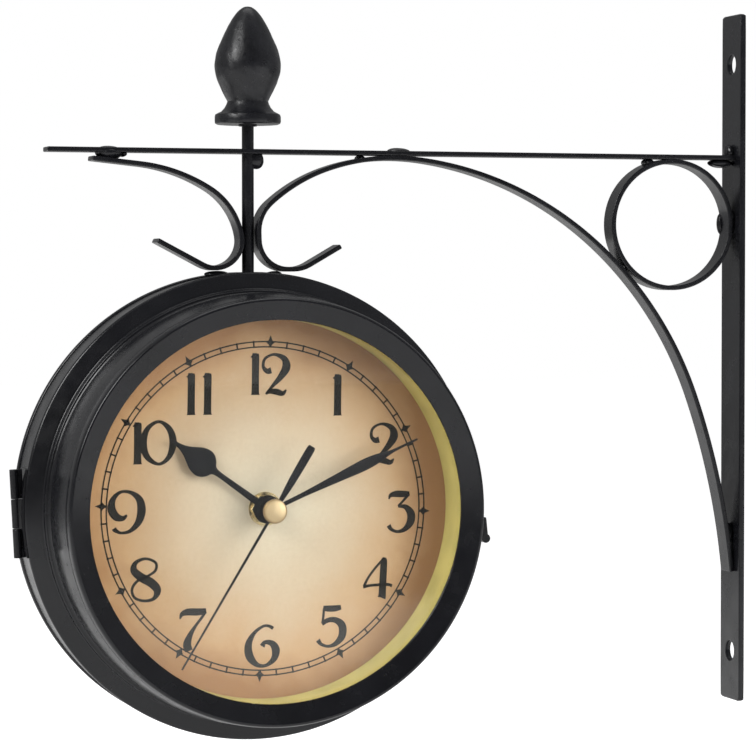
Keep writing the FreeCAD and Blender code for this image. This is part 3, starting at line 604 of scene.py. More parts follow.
def olive_plastic():
    """Matt yellow green plastic with soft clouding."""
    f = Finish("Olive depth ring", Specular_IOR_Level=0.35)
    if f.made:
        base = bpy.context.scene.station_clock_dial.well
        f.colour(f.tones(f.noise(14, 4), base, (0.3, 0.86), (0.7, 1.1)))
        f.roughness(f.spread(f.noise(3, 3), 0.5, 0.62))
        f.bump(f.noise(0.9, 3), 0.01, 0.4)
    return f.material


def window_glass():
    """Clear flat glass: see-through, with a reflection that grows towards grazing angles and faint smears."""
    f = Finish("Clear glass", Base_Color=(0.985, 0.995, 0.985, 1), IOR=1.45, Transmission_Weight=1.0)
    if f.made:
        f.roughness(f.spread(f.noise(30, 4, 0.6), 0.0, 0.035))
        lamps = f.add("ShaderNodeLightPath").outputs["Is Shadow Ray"]
        clear = f.add("ShaderNodeBsdfTransparent", [("Color", (0.93, 0.95, 0.93, 1))])
        both = f.add("ShaderNodeMixShader", [(0, lamps), (1, f.shader.outputs[0]), (2, clear.outputs[0])])
        f.links.new(both.outputs[0], f.nodes["Material Output"].inputs["Surface"])
    return f.material


def bright_metal(name, colour, rough, grain):
    """Bare metal with fine drawn grain, whose size in x, y and z is given."""
    f = Finish(name, Metallic=1.0)
    if f.made:
        stretched = f.add("ShaderNodeMapping", [
            ("Vector", f.coordinates), ("Scale", tuple(1 / size for size in grain))]).outputs[0]
        f.colour(f.tones(f.noise(1.0, 3, 0.6, stretched), colour, (0.3, 0.82), (0.7, 1.0)))
        f.roughness(f.spread(f.noise(4, 4), rough - 0.07, rough + 0.09))
    return f.material


def zinc():
    return bright_metal("Bright zinc", (0.60, 0.61, 0.62), 0.34, (0.4, 0.4, 12))


def brass():
    return bright_metal("Pale brass", (0.78, 0.63, 0.36), 0.24, (3, 3, 3))


def cap_enamel():
    """Pale gold cap: satin, darker towards its rim."""
    f = Finish("Gold cap", Metallic=0.55)
    if f.made:
        f.colour(f.ramp(f.from_axis(CAP_R)[1],
                        [(0.0, (0.58, 0.44, 0.26)), (0.75, (0.54, 0.40, 0.23)), (1.0, (0.30, 0.20, 0.10))]))
        f.roughness(f.spread(f.noise(1.5, 3), 0.32, 0.44))
    return f.material


def moulded(name, colour):
    """Moulded plastic: faint clouding and a spark-eroded grain."""
    f = Finish(name, Specular_IOR_Level=0.45)
    if f.made:
        f.colour(f.tones(f.noise(11, 4), colour, (0.3, 0.84), (0.7, 1.08)))
        f.roughness(f.spread(f.noise(2, 3), 0.44, 0.58))
        f.bump(f.noise(0.45, 3), 0.012, 0.5)
    return f.material


def hand_lacquer():
    """Matt black lacquer on thin sheet."""
    f = Finish("Hand lacquer", Specular_IOR_Level=0.14)
    if f.made:
        f.colour(f.ramp(f.noise(5, 3), [(0.3, (0.007, 0.007, 0.009)), (0.7, (0.013, 0.013, 0.015))]))
        f.roughness(f.spread(f.noise(2.0, 3), 0.5, 0.64))
    return f.material


def movement_works():
    """Drive unit: green board in the deepest layer, copper winding in front of it, bright crystal can."""
    f = Finish("Board, coil and crystal", Roughness=0.42)
    if f.made:
        board = f.math("LESS_THAN", f.math("ABSOLUTE", f.along("Y")), 12.4 * MM)
        high = f.math("GREATER_THAN", f.along("Z"), (CLOCK_Z + 16.4) * MM)
        turns = f.add("ShaderNodeTexWave", [("Vector", f.coordinates), ("Scale", 1 / (1.6 * MM))],
                      bands_direction="Z")
        copper = f.ramp(turns.outputs["Fac"], [(0.2, (0.30, 0.10, 0.035)), (0.8, (0.62, 0.27, 0.12))])
        green = f.ramp(f.noise(2.5, 4), [(0.45, (0.010, 0.055, 0.022)), (0.55, (0.018, 0.10, 0.045))])
        f.colour(f.mix(board, f.mix(high, copper, (0.55, 0.56, 0.58)), green))
    return f.material


def cell_jacket():
    """Plain battery jacket: dark body, a copper coloured shoulder, bare metal at the ends."""
    f = Finish("Cell jacket", Roughness=0.3)
    if f.made:
        out = f.math("MULTIPLY", f.math("ABSOLUTE", f.along("X", f.centred())), 1 / (25 * MM))
        f.colour(f.ramp(out, [
            (0.0, (0.022, 0.024, 0.028)), (0.55, (0.025, 0.027, 0.03)), (0.56, (0.48, 0.21, 0.09)),
            (0.93, (0.45, 0.19, 0.08)), (0.94, (0.55, 0.55, 0.55))]))
    return f.material


# ---------------------------------------------------------------- bracket
RIM_SECTION = [(0.0, 0.0), (0.0, 0.55), (0.06, 0.78), (0.22, 0.93), (0.5, 1.0), (1.25, 1.0), (2.0, 1.0),
               (2.28, 0.93), (2.44, 0.78), (2.5, 0.55), (2.5, 0.0)]
RIM_CORNER, RIM_REACH = 0.72, 2.0
FLAT_EDGE, HOLE_EASE = 0.3, 0.45


def loop_round(across, along):
    """Points round a rectangle, from the places of the points on two of its sides."""
    a, b = across[:-1], along[:-1]
    sides = [(a, np.full(len(a), -along[-1])), (np.full(len(b), across[-1]), b),
             (-a, np.full(len(a), along[-1])), (np.full(len(b), -across[-1]), -b)]
    return np.concatenate([np.stack(side, 1) for side in sides])


def at_depth(x, yz):
    """Points of a face at one distance from the wall."""
    return np.column_stack([np.full(len(yz), x), yz])


def wall_bar_grids(ease):
    """Wall bar with its two screw holes, closed round the edge by a rim.

    Each face is a grid across the bar. A hole's square zone is (1 - t) circle(a) + t square(a) for t from the
    hole to the zone's edge, and the wall of a hole is the same circle at every depth. The rim's section is a
    half round on each edge, carried round the bar's rounded rectangle."""
    thick, hole_r, hole_z = WALL_BAR["thick"], WALL_BAR["hole_r"], WALL_BAR["hole_z"]
    half = np.array([WALL_BAR["width"], WALL_BAR["length"]]) / 2
    flat, inner = half[0] - ease - FLAT_EDGE, half[1] - RIM_REACH
    across = np.linspace(-flat, flat, 17)
    stretches = [np.linspace(-inner, -hole_z - flat, 3), np.linspace(-hole_z + flat, hole_z - flat, 40),
                 np.linspace(hole_z + flat, inner, 3)]
    grids = []
    for x in (-thick, 0.0):
        for rows in stretches:
            y, z = np.meshgrid(across, rows)
            grids.append((np.stack([np.full_like(y, x), y, z], -1), False, False))
    unit = np.linspace(-1, 1, 17)
    square = loop_round(unit, unit) * flat
    angle = np.arctan2(square[:, 1], square[:, 0])
    circle = np.stack([np.cos(angle), np.sin(angle)], 1)
    hole_rings = [(0, hole_r, HOLE_EASE), (0, hole_r + 0.12, 0.15), (0, hole_r + 0.42, 0.0),
                  (0, hole_r + 0.7, 0.0), (0.4, hole_r, 0.0), (1, hole_r, 0.0)]
    for centre in ((0, -hole_z), (0, hole_z)):
        for x, out in ((-thick, -1), (0.0, 1)):
            rings = [at_depth(x - out * sink, (1 - t) * circle * r + t * square + centre)
                     for t, r, sink in hole_rings]
            grids.append((np.stack(rings), False, True))
        wall = [at_depth(x, circle * hole_r + centre) for x in (-thick + HOLE_EASE, -HOLE_EASE)]
        grids.append((np.stack(wall), False, True))
    beside = [np.linspace(z - flat, z + flat, 17) for z in (-hole_z, hole_z)]
    loop = loop_round(across, np.unique(np.concatenate(stretches + beside).round(6)))
    limits = np.array([flat, inner])
    out = np.sign(loop) * (np.abs(loop) >= limits - 1e-6)
    drawn_in = np.where(np.abs(out).sum(1) > 1.5, RIM_CORNER, 1.0)[:, None]
    rings = [at_depth(-thick + depth, loop + out * (half - limits) * share * drawn_in)
             for depth, share in RIM_SECTION]
    grids.append((np.stack(rings), False, True))
    return grids


class STATION_CLOCK_OT_bracket_bars(bpy.types.Operator):
    """Wall bar, top bar, arch strip, left scroll and support ring"""

    bl_idname = "station_clock.bracket_bars"
    bl_label = "Bracket bars"

    def execute(self, context):
        ease = context.scene.station_clock_paint.edge
        z = TOP_BAR_TOP_Z - STRIP_THICK / 2
        ends = (TOP_BAR_END_X, 0, z), (-WALL_BAR["thick"] + 0.4, 0, z)
        curl = bent_line(ARCH_X, STRIP_LINE_Z, 180, CURL_BENDS)
        brace = bent_line(ARCH_X, STRIP_LINE_Z, 0, ARCH_BENDS)
        arch = [np.concatenate([a[::-1], b[1:]]) for a, b in zip(curl[:2], brace[:2])]
        arch.append(np.concatenate([curl[2][::-1] - math.pi, brace[2][1:]]))
        ring = rectangle(STRIP_THICK, STRIP_WIDTH, ease) + (RING_R - STRIP_THICK / 2, 0)
        bars = {"wall_bar": wall_bar_grids(ease),
                "top_bar": [straight_bar(rectangle(STRIP_WIDTH, STRIP_THICK, ease), *ends, (0, 1, 0),
                                         (0, 0, 1), ease)],
                "arch_strip": [strip_along(*arch, ease)],
                "left_scroll": [strip_along(*bent_line(*LEFT_START, LEFT_BENDS), ease)],
                "support_ring": [turned(ring, (RING_X, 0, RING_Z), (0, -1, 0), 192)]}
        for node, grids in bars.items():
            skin(node, grids, black_paint())
        return {"FINISHED"}


# Weld lumps as (x, z, size x, size z, size y, y)
TOUCH = math.radians(222)
WELDS = [(-8.0, 85.2, 11.0, 3.6, 9.0, 0), (-3.6, 90.2, 4.2, 6.5, 7.0, 0), (-3.9, -77.0, 4.6, 10.0, 8.0, 0),
         (-3.2, RING_Z + 4.0, 3.2, 5.0, 8.0, 0), (-3.2, RING_Z - 1.5, 3.2, 3.0, 8.0, 0),
         (RING_X + 26.2, RING_Z + 0.8, 2.4, 9.0, 3.5, 4.8), (RING_X - 10.0, 85.1, 5.0, 4.0, 8.0, 0),
         (RING_X + 28.9 * math.cos(TOUCH), RING_Z + 28.9 * math.sin(TOUCH), 3.2, 5.4, 7.0, 0),
         (ARCH_X + 3.0, 88.6, 9.6, 3.0, 9.0, 0), (ARCH_X - 14.0, 85.4, 4.0, 2.8, 9.0, 0),
         (POST_X + 3.2, 84.4, 7.0, 8.0, 5.0, 0), (POST_X + 11.1, CLOCK_Z + 96.0, 7.0, 2.8, 8.0, 0),
         (POST_X - 13.5, CLOCK_Z + 96.0, 10.0, 3.0, 8.0, 0), (-280.5, 86.5, 11.4, 5.8, 11.2, 0),
         (-274.7, 86.1, 3.0, 2.4, 8.0, 0)]


def weld_lump(x, z, size_x, size_z, size_y, y, number):
    """Weld bead: an ellipsoid whose radius is 1 + 0.05 sin(9 v) + 0.04 sin(3 u + n), the ripples of a run of
    weld across the strip."""
    u = np.linspace(0, 2 * np.pi, 40, endpoint=False)[:, None]
    v = np.linspace(0, np.pi, 29)[None, :]
    swell = 1 + 0.05 * np.sin(9 * v + number) * np.sin(v) + 0.04 * np.sin(3 * u + number) * np.sin(v)
    ball = np.stack([np.sin(v) * np.cos(u) * swell * size_x / 2,
                     np.cos(v) * np.ones_like(u) * size_y / 2,
                     np.sin(v) * np.sin(u) * swell * size_z / 2], -1)
    return ball + (x, y, z), True, False


class STATION_CLOCK_OT_welds(bpy.types.Operator):
    """Weld lumps where the bars meet each other, the post and the drum"""

    bl_idname = "station_clock.welds"
    bl_label = "Welds"

    def execute(self, context):
        lumps = [weld_lump(*weld, number) for number, weld in enumerate(WELDS)]
        skin("weld_beads", lumps, black_paint())
        return {"FINISHED"}


def casting(points, wrap_rows, wrap_cols):
    """Cast surface: points moved towards or away from the post by a sum of slow waves, at most 0.12."""
    x, y, z = np.moveaxis(points - (POST_X, 0, FINIAL_Z), -1, 0)
    wave = np.sin(0.9 * x + 1.3 * z) + np.sin(1.1 * y - 0.7 * z + 2) + np.sin(0.8 * x - 1.2 * y + 0.5 * z)
    radial = np.hypot(x, y)
    push = 0.035 * wave * np.clip(radial / 4 - 0.8, 0, 1) / np.maximum(radial, 1e-6)
    return points + np.stack([x * push, y * push, np.zeros_like(z)], -1), wrap_rows, wrap_cols


class STATION_CLOCK_OT_post(bpy.types.Operator):
    """Post, finial and the nut under the band"""

    bl_idname = "station_clock.post"
    bl_label = "Post and finial"

    def execute(self, context):
        rod = eased([(0, POST_FOOT_Z), (POST_R, POST_FOOT_Z), (POST_R, POST_TOP_Z), (0, POST_TOP_Z)],
                    (0, 0.4, 0.4, 0))
        skin("post", [turned(rod, (POST_X, 0, 0), (0, 0, 1), 48)], black_paint())
        collar = [(0, -0.8), (3.7, -0.8), (3.9, -0.6), (3.9, 0)]
        foot = [(4.2, 0), (12.8, 0), (13.6, 0.4), (13.8, 1.2), (13.8, 3.2), (13.5, 4.1), (12.6, 4.6),
                (11.0, 5.4), (9.6, 7.0), (8.8, 8.6)]
        bud = smooth_line([(8.5, 9.6), (10.6, 13.8), (13.0, 19.4), (13.8, 25.0), (12.6, 31.0), (8.9, 39.4),
                           (6.2, 44.2), (3.9, 47.1), (1.9, 48.6), (0.8, 48.95), (0.0, 49.0)], 5)
        profile = np.concatenate([collar, foot, bud])
        finial = casting(*turned(profile, (POST_X, 0, FINIAL_Z), (0, 0, 1), 120))
        skin("finial", [finial], cast_paint())
        dressed("post_nut", zinc(), "bright_steel")
        return {"FINISHED"}


# ---------------------------------------------------------------- drum
def bezel_profile():
    """Spun shell from the skirt over rim, shoulder, step and bulged wall to the sloping lip, then back."""
    skirt = BAND_R - SHEET - 0.3
    back, rim = BAND_HALF - 3.2, BAND_HALF + 0.3
    steps = [(skirt - SHEET, back), (skirt, back), (skirt, rim), (RIM_R - 1.0, rim),
             (RIM_R - 0.3, rim + 0.3, RIM_R, rim + 1.0), (RIM_R, rim + 2.6),
             (RIM_R - 0.3, rim + 3.4, RIM_R - 1.0, rim + 3.9), (90.9, 15.4), (90.1, 15.8, 89.8, 16.6),
             (89.8, 17.3), (89.5, 18.2, 88.7, 18.5), (87.6, 20.2, 88.2, 22.4), (88.5, 33.0, 87.0, 46.0),
             (86.7, 50.6, 85.3, 52.0), (77.6, 48.4), (77.6, 47.2), (84.4, 50.4), (85.7, 46.0),
             (87.2, 33.0, 86.9, 22.4), (86.4, 20.0), (86.9, 17.6), (88.6, 17.0), (88.8, 15.2),
             (RIM_R - 2.6, rim + 2.9), (skirt - SHEET, rim + 1.2)]
    return stepped_profile(steps)


class STATION_CLOCK_OT_drum(bpy.types.Operator):
    """Middle band and the two spun shells"""

    bl_idname = "station_clock.drum"
    bl_label = "Drum shells"

    def execute(self, context):
        hoop = rectangle(SHEET, 2 * BAND_HALF, 0.4) + (BAND_R - SHEET / 2, 0)
        skin("case_band", [about_drum(hoop, FRONT)], black_paint())
        for name, side in SIDES.items():
            skin(name + "_bezel", [about_drum(bezel_profile(), side)], black_paint())
        return {"FINISHED"}


class STATION_CLOCK_OT_windows(bpy.types.Operator):
    """Glasses and depth rings of both sides"""

    bl_idname = "station_clock.windows"
    bl_label = "Glasses and depth rings"

    def execute(self, context):
        foot_r, foot_d = WELL_R + 4.0, DIAL_FACE + 1.2
        wall_r, flange_d = WELL_R + 1.5, LENS_BACK - 1.2
        pane = eased([(0, LENS_BACK), (LENS_R, LENS_BACK), (LENS_R, LENS_FRONT), (0, LENS_FRONT)],
                     (0, 0.3, 0.3, 0))
        ring = eased([(WELL_R, DIAL_FACE), (foot_r, DIAL_FACE), (foot_r, foot_d), (wall_r, foot_d),
                      (wall_r, flange_d), (LENS_R, flange_d), (LENS_R, LENS_BACK), (WELL_R, LENS_BACK)], 0.3)
        for name, side in SIDES.items():
            skin(name + "_lens", [about_drum(pane, side, 144)], window_glass())
            skin(name + "_depth_ring", [about_drum(ring, side)], olive_plastic())
        return {"FINISHED"}


class STATION_CLOCK_OT_hinge_and_catch(bpy.types.Operator):
    """Door hinge on the left and thumb catch on the right"""

    bl_idname = "station_clock.hinge_and_catch"
    bl_label = "Hinge and catch"

    def execute(self, context):
        for node in ("hinge_case_leaf", "hinge_door_leaf", "catch_bracket", "catch_lever"):
            dressed(node, black_paint(), PAINTED, 0.14)
        for node in ("hinge_pin", "catch_pin"):
            dressed(node, zinc(), "bright_steel", 0.1)
        return {"FINISHED"}


# ---------------------------------------------------------------- dial print
PRINT_BASE, PRINT_THICK = 0.005, 0.05
PRINT_TURN = math.radians(2.0)
PEN_LEAST, PEN_GAIN, PEN_EXTRA = 0.15, 1.2, 0.18
TRACK_GAP, TRACK_LINE = 2.15, 0.58
TICK_HALF, TICK_OUT, TICK_IN = 0.34, 0.45, 0.35
STAR_BELOW_LINE = 0.35
STAR = [(0, 3.0), (0.8, 0.95), (1.75, 0), (0.8, -0.85), (0, -2.2), (-0.8, -0.85), (-1.75, 0), (-0.8, 0.95)]
DIGIT_STROKES = {
    "0": [("closed", [(0.3, 8.6, 0.9), (4.6, 5.6, 1.9), (6.2, 0, 2.4), (4.4, -5.8, 1.6), (0.2, -8.6, 0.9),
                      (-4.6, -5.6, 1.9), (-6.2, 0, 2.4), (-4.4, 5.8, 1.6)])],
    "1": [("open", [(0.2, 8.5, 1.9), (0.1, 7.2, 2.4), (0, 0, 2.4), (-0.1, -7.2, 2.5), (-0.1, -8.5, 3.0)]),
          ("open", [(-2.0, 6.9, 0.3), (-0.8, 7.4, 0.8), (0.6, 8.3, 0.7)])],
    "2": [("open", [(-1.6, 1.6, 2.0), (-3.4, 1.3, 1.6), (-5.0, 3.2, 1.0), (-4.2, 6.4, 0.8),
                    (-0.4, 8.1, 0.8), (3.8, 6.4, 1.9), (4.8, 2.9, 2.8), (2.4, -1.1, 2.0), (-1.1, -4.9, 1.0),
                    (-3.9, -8.1, 0.6)]),
          ("open", [(-3.9, -8.1, 0.5), (-2.2, -7.1, 1.3), (0.6, -7.2, 2.0), (3.2, -7.9, 1.5),
                    (4.8, -6.4, 0.3)])],
    "3": [("open", [(-4.8, 5.4, 0.3), (-3.9, 7.0, 1.3), (-1.4, 7.5, 2.1), (1.5, 7.4, 2.1),
                    (4.2, 7.5, 1.5)]),
          ("open", [(4.0, 7.4, 0.9), (1.4, 4.5, 0.7), (-0.7, 2.4, 0.7)]),
          ("open", [(-0.8, 2.3, 0.6), (2.5, 2.0, 1.6), (4.8, -0.8, 2.7), (4.6, -4.3, 2.6),
                    (2.2, -7.2, 1.6), (-1.0, -8.2, 0.9), (-3.7, -7.2, 1.1), (-4.9, -5.5, 1.6)])],
    "4": [("open", [(2.9, 8.3, 1.0), (2.6, 6.6, 2.2), (2.2, 0, 2.4), (1.8, -7.2, 2.5), (1.6, -8.4, 2.9)]),
          ("open", [(2.7, 8.1, 0.7), (-1.2, 4.0, 0.7), (-4.3, 0.0, 0.7), (-6.1, -3.5, 0.9)]),
          ("open", [(-6.4, -3.7, 1.0), (-3.6, -3.2, 0.8), (0, -3.0, 0.8), (4.2, -3.0, 0.9),
                    (6.1, -3.6, 0.9)])],
    "5": [("open", [(-3.3, 7.7, 1.6), (-1, 7.5, 2.0), (1.8, 7.5, 2.0), (4.4, 7.9, 1.5)]),
          ("open", [(-3.0, 7.4, 0.7), (-3.2, 4.6, 0.7), (-3.6, 1.4, 0.8)]),
          ("open", [(-3.8, 1.2, 1.2), (-1.2, 2.7, 1.5), (2.1, 2.6, 1.9), (4.8, 0.3, 2.6),
                    (4.8, -3.9, 2.5), (2.2, -7.0, 1.6), (-1.0, -8.1, 0.9), (-4.1, -7.2, 1.0),
                    (-5.6, -5.4, 1.6)])],
    "6": [("open", [(4.9, 6.9, 1.1), (3.2, 7.9, 0.9), (0.6, 7.9, 0.8), (-3.2, 5.2, 1.2),
                    (-5.6, 0.6, 2.3), (-5.1, -4.3, 2.7), (-2.0, -7.8, 1.5), (1.8, -8.2, 1.0),
                    (5.2, -5.6, 2.0), (6.0, -2.0, 2.7), (4.4, 0.7, 2.0), (1.4, 1.3, 1.2),
                    (0.2, -0.3, 1.8)])],
    "7": [("open", [(-5.6, 4.8, 0.3), (-4.7, 6.8, 1.4), (-2.2, 7.6, 2.2), (1.8, 7.5, 2.3),
                    (5.4, 7.8, 1.7)]),
          ("open", [(5.2, 7.6, 0.9), (3.4, 5.0, 0.8), (0.9, 1.8, 0.9), (-1.4, -1.9, 1.7),
                    (-2.6, -5.6, 2.7), (-1.9, -8.3, 2.6)])],
    "8": [("closed", [(0.1, 8.5, 0.8), (-3.9, 7.0, 1.3), (-4.7, 3.9, 2.3), (-1.7, 1.0, 2.8),
                      (2.4, -1.3, 2.9), (5.0, -4.4, 2.5), (3.6, -7.7, 1.2), (-0.3, -8.6, 0.8),
                      (-4.4, -7.2, 0.8), (-5.5, -3.8, 0.8), (-3.4, -0.6, 0.8), (0.9, 1.4, 0.7),
                      (4.2, 3.6, 0.8), (4.3, 6.8, 0.8)])],
    "9": [("open", [(0.2, -1.3, 0.6), (-1.6, -2.6, 1.6), (-4.4, -1.8, 2.6), (-6.2, 1.4, 2.7),
                    (-5.4, 5.4, 1.7), (-2.2, 8.1, 0.9), (2.0, 7.7, 1.2), (5.4, 4.8, 2.3), (6.2, 0.2, 2.8),
                    (4.9, -4.3, 2.2), (1.6, -7.7, 1.2), (-2.2, -8.5, 0.8), (-4.6, -7.4, 1.3),
                    (-5.2, -6.6, 1.6)])],
}
NUMERALS = [("1", -4.0, 55.2), ("2", 4.3, 55.1), ("1", 31.1, 46.3), ("2", 50.6, 26.0), ("3", 58.0, -2.6),
            ("4", 48.5, -29.7), ("5", 28.1, -49.4), ("6", -1.5, -56.2), ("7", -30.3, -49.0),
            ("8", -50.3, -27.7), ("9", -58.0, 0.0), ("1", -53.3, 27.6), ("0", -44.8, 27.7),
            ("1", -31.0, 47.3), ("1", -24.1, 47.3)]


def stroke(kind, points, u, w, side):
    """Pen stroke of a numeral on the dial.

    The middle line and the pen's width are one smooth curve; its normal is the unit tangent turned a quarter
    left. Each ring of the ribbon is the pen's two edges at the paper and at the top of the ink."""
    closed = kind == "closed"
    line = smooth_line(points, 7, closed)
    x, y, width = line.T
    if closed:
        tx, ty = [np.roll(v, -1) - np.roll(v, 1) for v in (x, y)]
    else:
        tx, ty = np.gradient(x), np.gradient(y)
    length = np.maximum(np.hypot(tx, ty), 1e-9)
    nx, ny = -ty / length, tx / length
    half = (np.maximum(width, PEN_LEAST) * PEN_GAIN + PEN_EXTRA) / 2
    sides = np.array([-1, -1, 1, 1])
    depth = DIAL_FACE + np.array([PRINT_BASE, PRINT_THICK, PRINT_THICK, PRINT_BASE])
    points_u = u + x[:, None] + sides * (half * nx)[:, None]
    points_w = w + y[:, None] + sides * (half * ny)[:, None]
    points = on_dial(points_u, points_w, depth[None], side)
    return points if closed else fan_ends(points), closed, True


def plate_loop(corners, d0, d1, side):
    """Flat plate between two depths over closed outlines of shape (count, corners, 2), each a fan about its
    own middle; gives one grid for each plate."""
    grids = []
    for outline in corners:
        u, w = outline.T
        middle = np.repeat(outline.mean(0)[None], len(outline), 0).T
        rings = [on_dial(middle[0], middle[1], d0, side), on_dial(u, w, d0, side), on_dial(u, w, d1, side),
                 on_dial(middle[0], middle[1], d1, side)]
        grids.append((np.stack(rings), False, True))
    return grids


def minute_track(track_r, side):
    """Two printed circles, sixty ticks between them and a four pointed star at every hour.

    A tick or star is drawn along +w at the track and turned by its angle, with
    u = a cos t + r sin t and w = r cos t - a sin t."""
    inner_r, line = track_r - TRACK_GAP, TRACK_LINE
    lo, hi = DIAL_FACE + PRINT_BASE, DIAL_FACE + PRINT_THICK
    grids = []
    for r in (track_r, inner_r):
        ring = [(r - line / 2, lo), (r + line / 2, lo), (r + line / 2, hi), (r - line / 2, hi)]
        grids.append(about_drum(ring, side, 360))

    def turned_to(shape, minutes):
        angle = minutes * (2 * math.pi / 60) + PRINT_TURN
        a, r = shape.T
        u = a[None] * np.cos(angle)[:, None] + r[None] * np.sin(angle)[:, None]
        w = r[None] * np.cos(angle)[:, None] - a[None] * np.sin(angle)[:, None]
        return np.stack([u, w], -1)

    minutes = np.arange(60)
    top, low, half = track_r + TICK_OUT, inner_r - TICK_IN, TICK_HALF
    tick = np.array([(-half, low), (half, low), (half, top), (-half, top)])
    star = np.array(STAR) + (0, track_r - STAR_BELOW_LINE)
    grids += plate_loop(turned_to(tick, minutes[minutes % 5 > 0]), lo, hi, side)
    grids += plate_loop(turned_to(star, minutes[::5]), lo, hi, side)
    return grids


class STATION_CLOCK_OT_dials(bpy.types.Operator):
    """Parchment on the dial sheets, minute tracks and numerals"""

    bl_idname = "station_clock.dials"
    bl_label = "Dials"

    def execute(self, context):
        settings = context.scene.station_clock_dial
        for name, side in SIDES.items():
            sheet = NODES[name + "_dial"]
            sheet.data.materials.clear()
            sheet.data.materials.append(parchment())
            strokes = [stroke(kind, points, u, w, side) for digit, u, w in NUMERALS
                       for kind, points in DIGIT_STROKES[digit]]
            printed = {"minute_track": minute_track(settings.track_r, side), "numerals": strokes}
            for kind, grids in printed.items():
                label = f"{name}_{kind}"
                piece(label, mesh_from(label, grids), ink(), INNER_BODY[name])
        return {"FINISHED"}


# ---------------------------------------------------------------- hands
HOUR_SHAPE = [(1.5, 3.4), (1.35, 10.0), (1.2, 18.0), (1.15, 24.5), (1.7, 27.6), (3.6, 29.0), (5.3, 31.0),
              (5.9, 33.5), (5.2, 36.6), (3.7, 39.2), (2.3, 41.6), (1.3, 44.2), (0.8, 47.0), (0.5, 49.7)]
MINUTE_SHAPE = [(0.9, 2.6), (0.95, 14.0), (1.4, 24.0), (1.8, 32.0), (2.2, 39.0), (2.35, 44.0), (2.0, 49.0),
                (1.2, 53.5), (0.65, 57.0), (0.5, 62.0), (0.4, 68.5)]
SECOND_SHAPE = [(1.3, -30.5), (1.7, -29.0), (1.75, -22.0), (1.5, -13.0), (1.0, -6.0), (0.65, 0.0),
                (0.5, 30.0), (0.35, 74.0)]


def blade(shape, hand, side, crease):
    """Blade of a hand from (half width, distance) points.

    At distance s the section is a flat back of the half width and a face whose edges are broken by a fifth of
    the width and whose middle stands crease higher."""
    half, s = smooth_line(shape, 6).T if len(shape) > 6 else np.array(shape, float).T
    half = np.maximum(half, 0.08)
    across = np.array([-1, -1, -0.8, 0, 0.8, 1, 1])
    level = np.array([0, 0.32, HAND_SHEET, HAND_SHEET + crease, HAND_SHEET, 0.32, 0])
    a = across[None] * half[:, None]
    t = math.radians(hand["angle"])
    u = a * math.cos(t) + s[:, None] * math.sin(t)
    w = s[:, None] * math.cos(t) - a * math.sin(t)
    return fan_ends(on_dial(u, w, hand["depth"] + level[None], side)), False, True


def hub(hand, side):
    """Round boss of a hand with its bore."""
    d, r = hand["depth"], hand["hub"]
    ring = eased([(hand["bore"], d), (r, d), (r, d + HAND_SHEET + 0.1), (hand["bore"], d + HAND_SHEET + 0.1)],
                 0.12)
    return about_drum(ring, side, 64)


class STATION_CLOCK_OT_hands(bpy.types.Operator):
    """Hour, minute and second hands and their domed caps"""

    bl_idname = "station_clock.hands"
    bl_label = "Hands"

    def execute(self, context):
        base = SECOND_HAND["depth"] + HAND_SHEET
        dome = stepped_profile([(0, base), (CAP_R, base), (CAP_R, base + 0.7),
                                (CAP_R - 0.29, base + 1.41, CAP_R - 1, base + 1.7),
                                (CAP_R / 2 - 0.5, base + 2.08, 0, base + 2.2)], 0.1)
        for name, side in SIDES.items():
            for kind, shape, hand, crease in (("hour", HOUR_SHAPE, HOUR_HAND, 0.12),
                                              ("minute", MINUTE_SHAPE, MINUTE_HAND, 0.12),
                                              ("second", SECOND_SHAPE, SECOND_HAND, 0.0)):
                skin(f"{name}_{kind}_hand", [blade(shape, hand, side, crease), hub(hand, side)],
                     hand_lacquer())
            skin(name + "_centre_cap", [about_drum(dome, side, 96)], cap_enamel())
        return {"FINISHED"}


# ---------------------------------------------------------------- movement
class STATION_CLOCK_OT_movements(bpy.types.Operator):
    """Finishes of both movements, their fixings and the dial clips"""

    bl_idname = "station_clock.movements"
    bl_label = "Movements"

    def execute(self, context):
        black = moulded("Black moulding", (0.020, 0.020, 0.022)), "black_plastic"
        white = moulded("White acetal", (0.72, 0.70, 0.64)), "white_plastic"
        steel, yellow = (zinc(), "bright_steel"), (brass(), "brass")
        works, cell = (movement_works(), "dark_plastic"), (cell_jacket(), "cell_jacket")
        parts = {"movement_case": (*black, 0.3), "movement_cover": (*black, 0.2), "drive_unit": (*works, 0.1),
                 "battery": (*cell, 0.4), "battery_contacts": (*steel, 0), "dial_clips": (*steel, 0.1),
                 "bush_washer": (*yellow, 0.1), "bush_nut": (*yellow, 0.2), "minute_arbor": (*white, 0),
                 "minute_wheel": (*white, 0), "hour_wheel": (*white, 0), "second_arbor": (*steel, 0),
                 "setting_knob": (*white, 0.12)}
        for name in SIDES:
            for part, settings in parts.items():
                dressed(f"{name}_{part}", *settings)
        return {"FINISHED"}


# ---------------------------------------------------------------- studio
# Lamps as (name, place in metres, size in metres, share of the key power, mirrored in glossy surfaces)
LAMPS = [("left", (-1.85, -0.75, 1.15), (0.8, 1.2), 1.3, True),
         ("right", (1.05, -1.5, 0.5), (1.3, 1.6), 1.3, False),
         ("top", (-0.1, 0.3, 1.8), (1.4, 0.8), 0.25, True),
         ("back", (-1.2, 1.6, 0.6), (1.3, 1.3), 0.6, False)]
LAMP_AIM_M = (-0.18, 0.0, 0.0)
FLOOR_HALF_M = 9.0


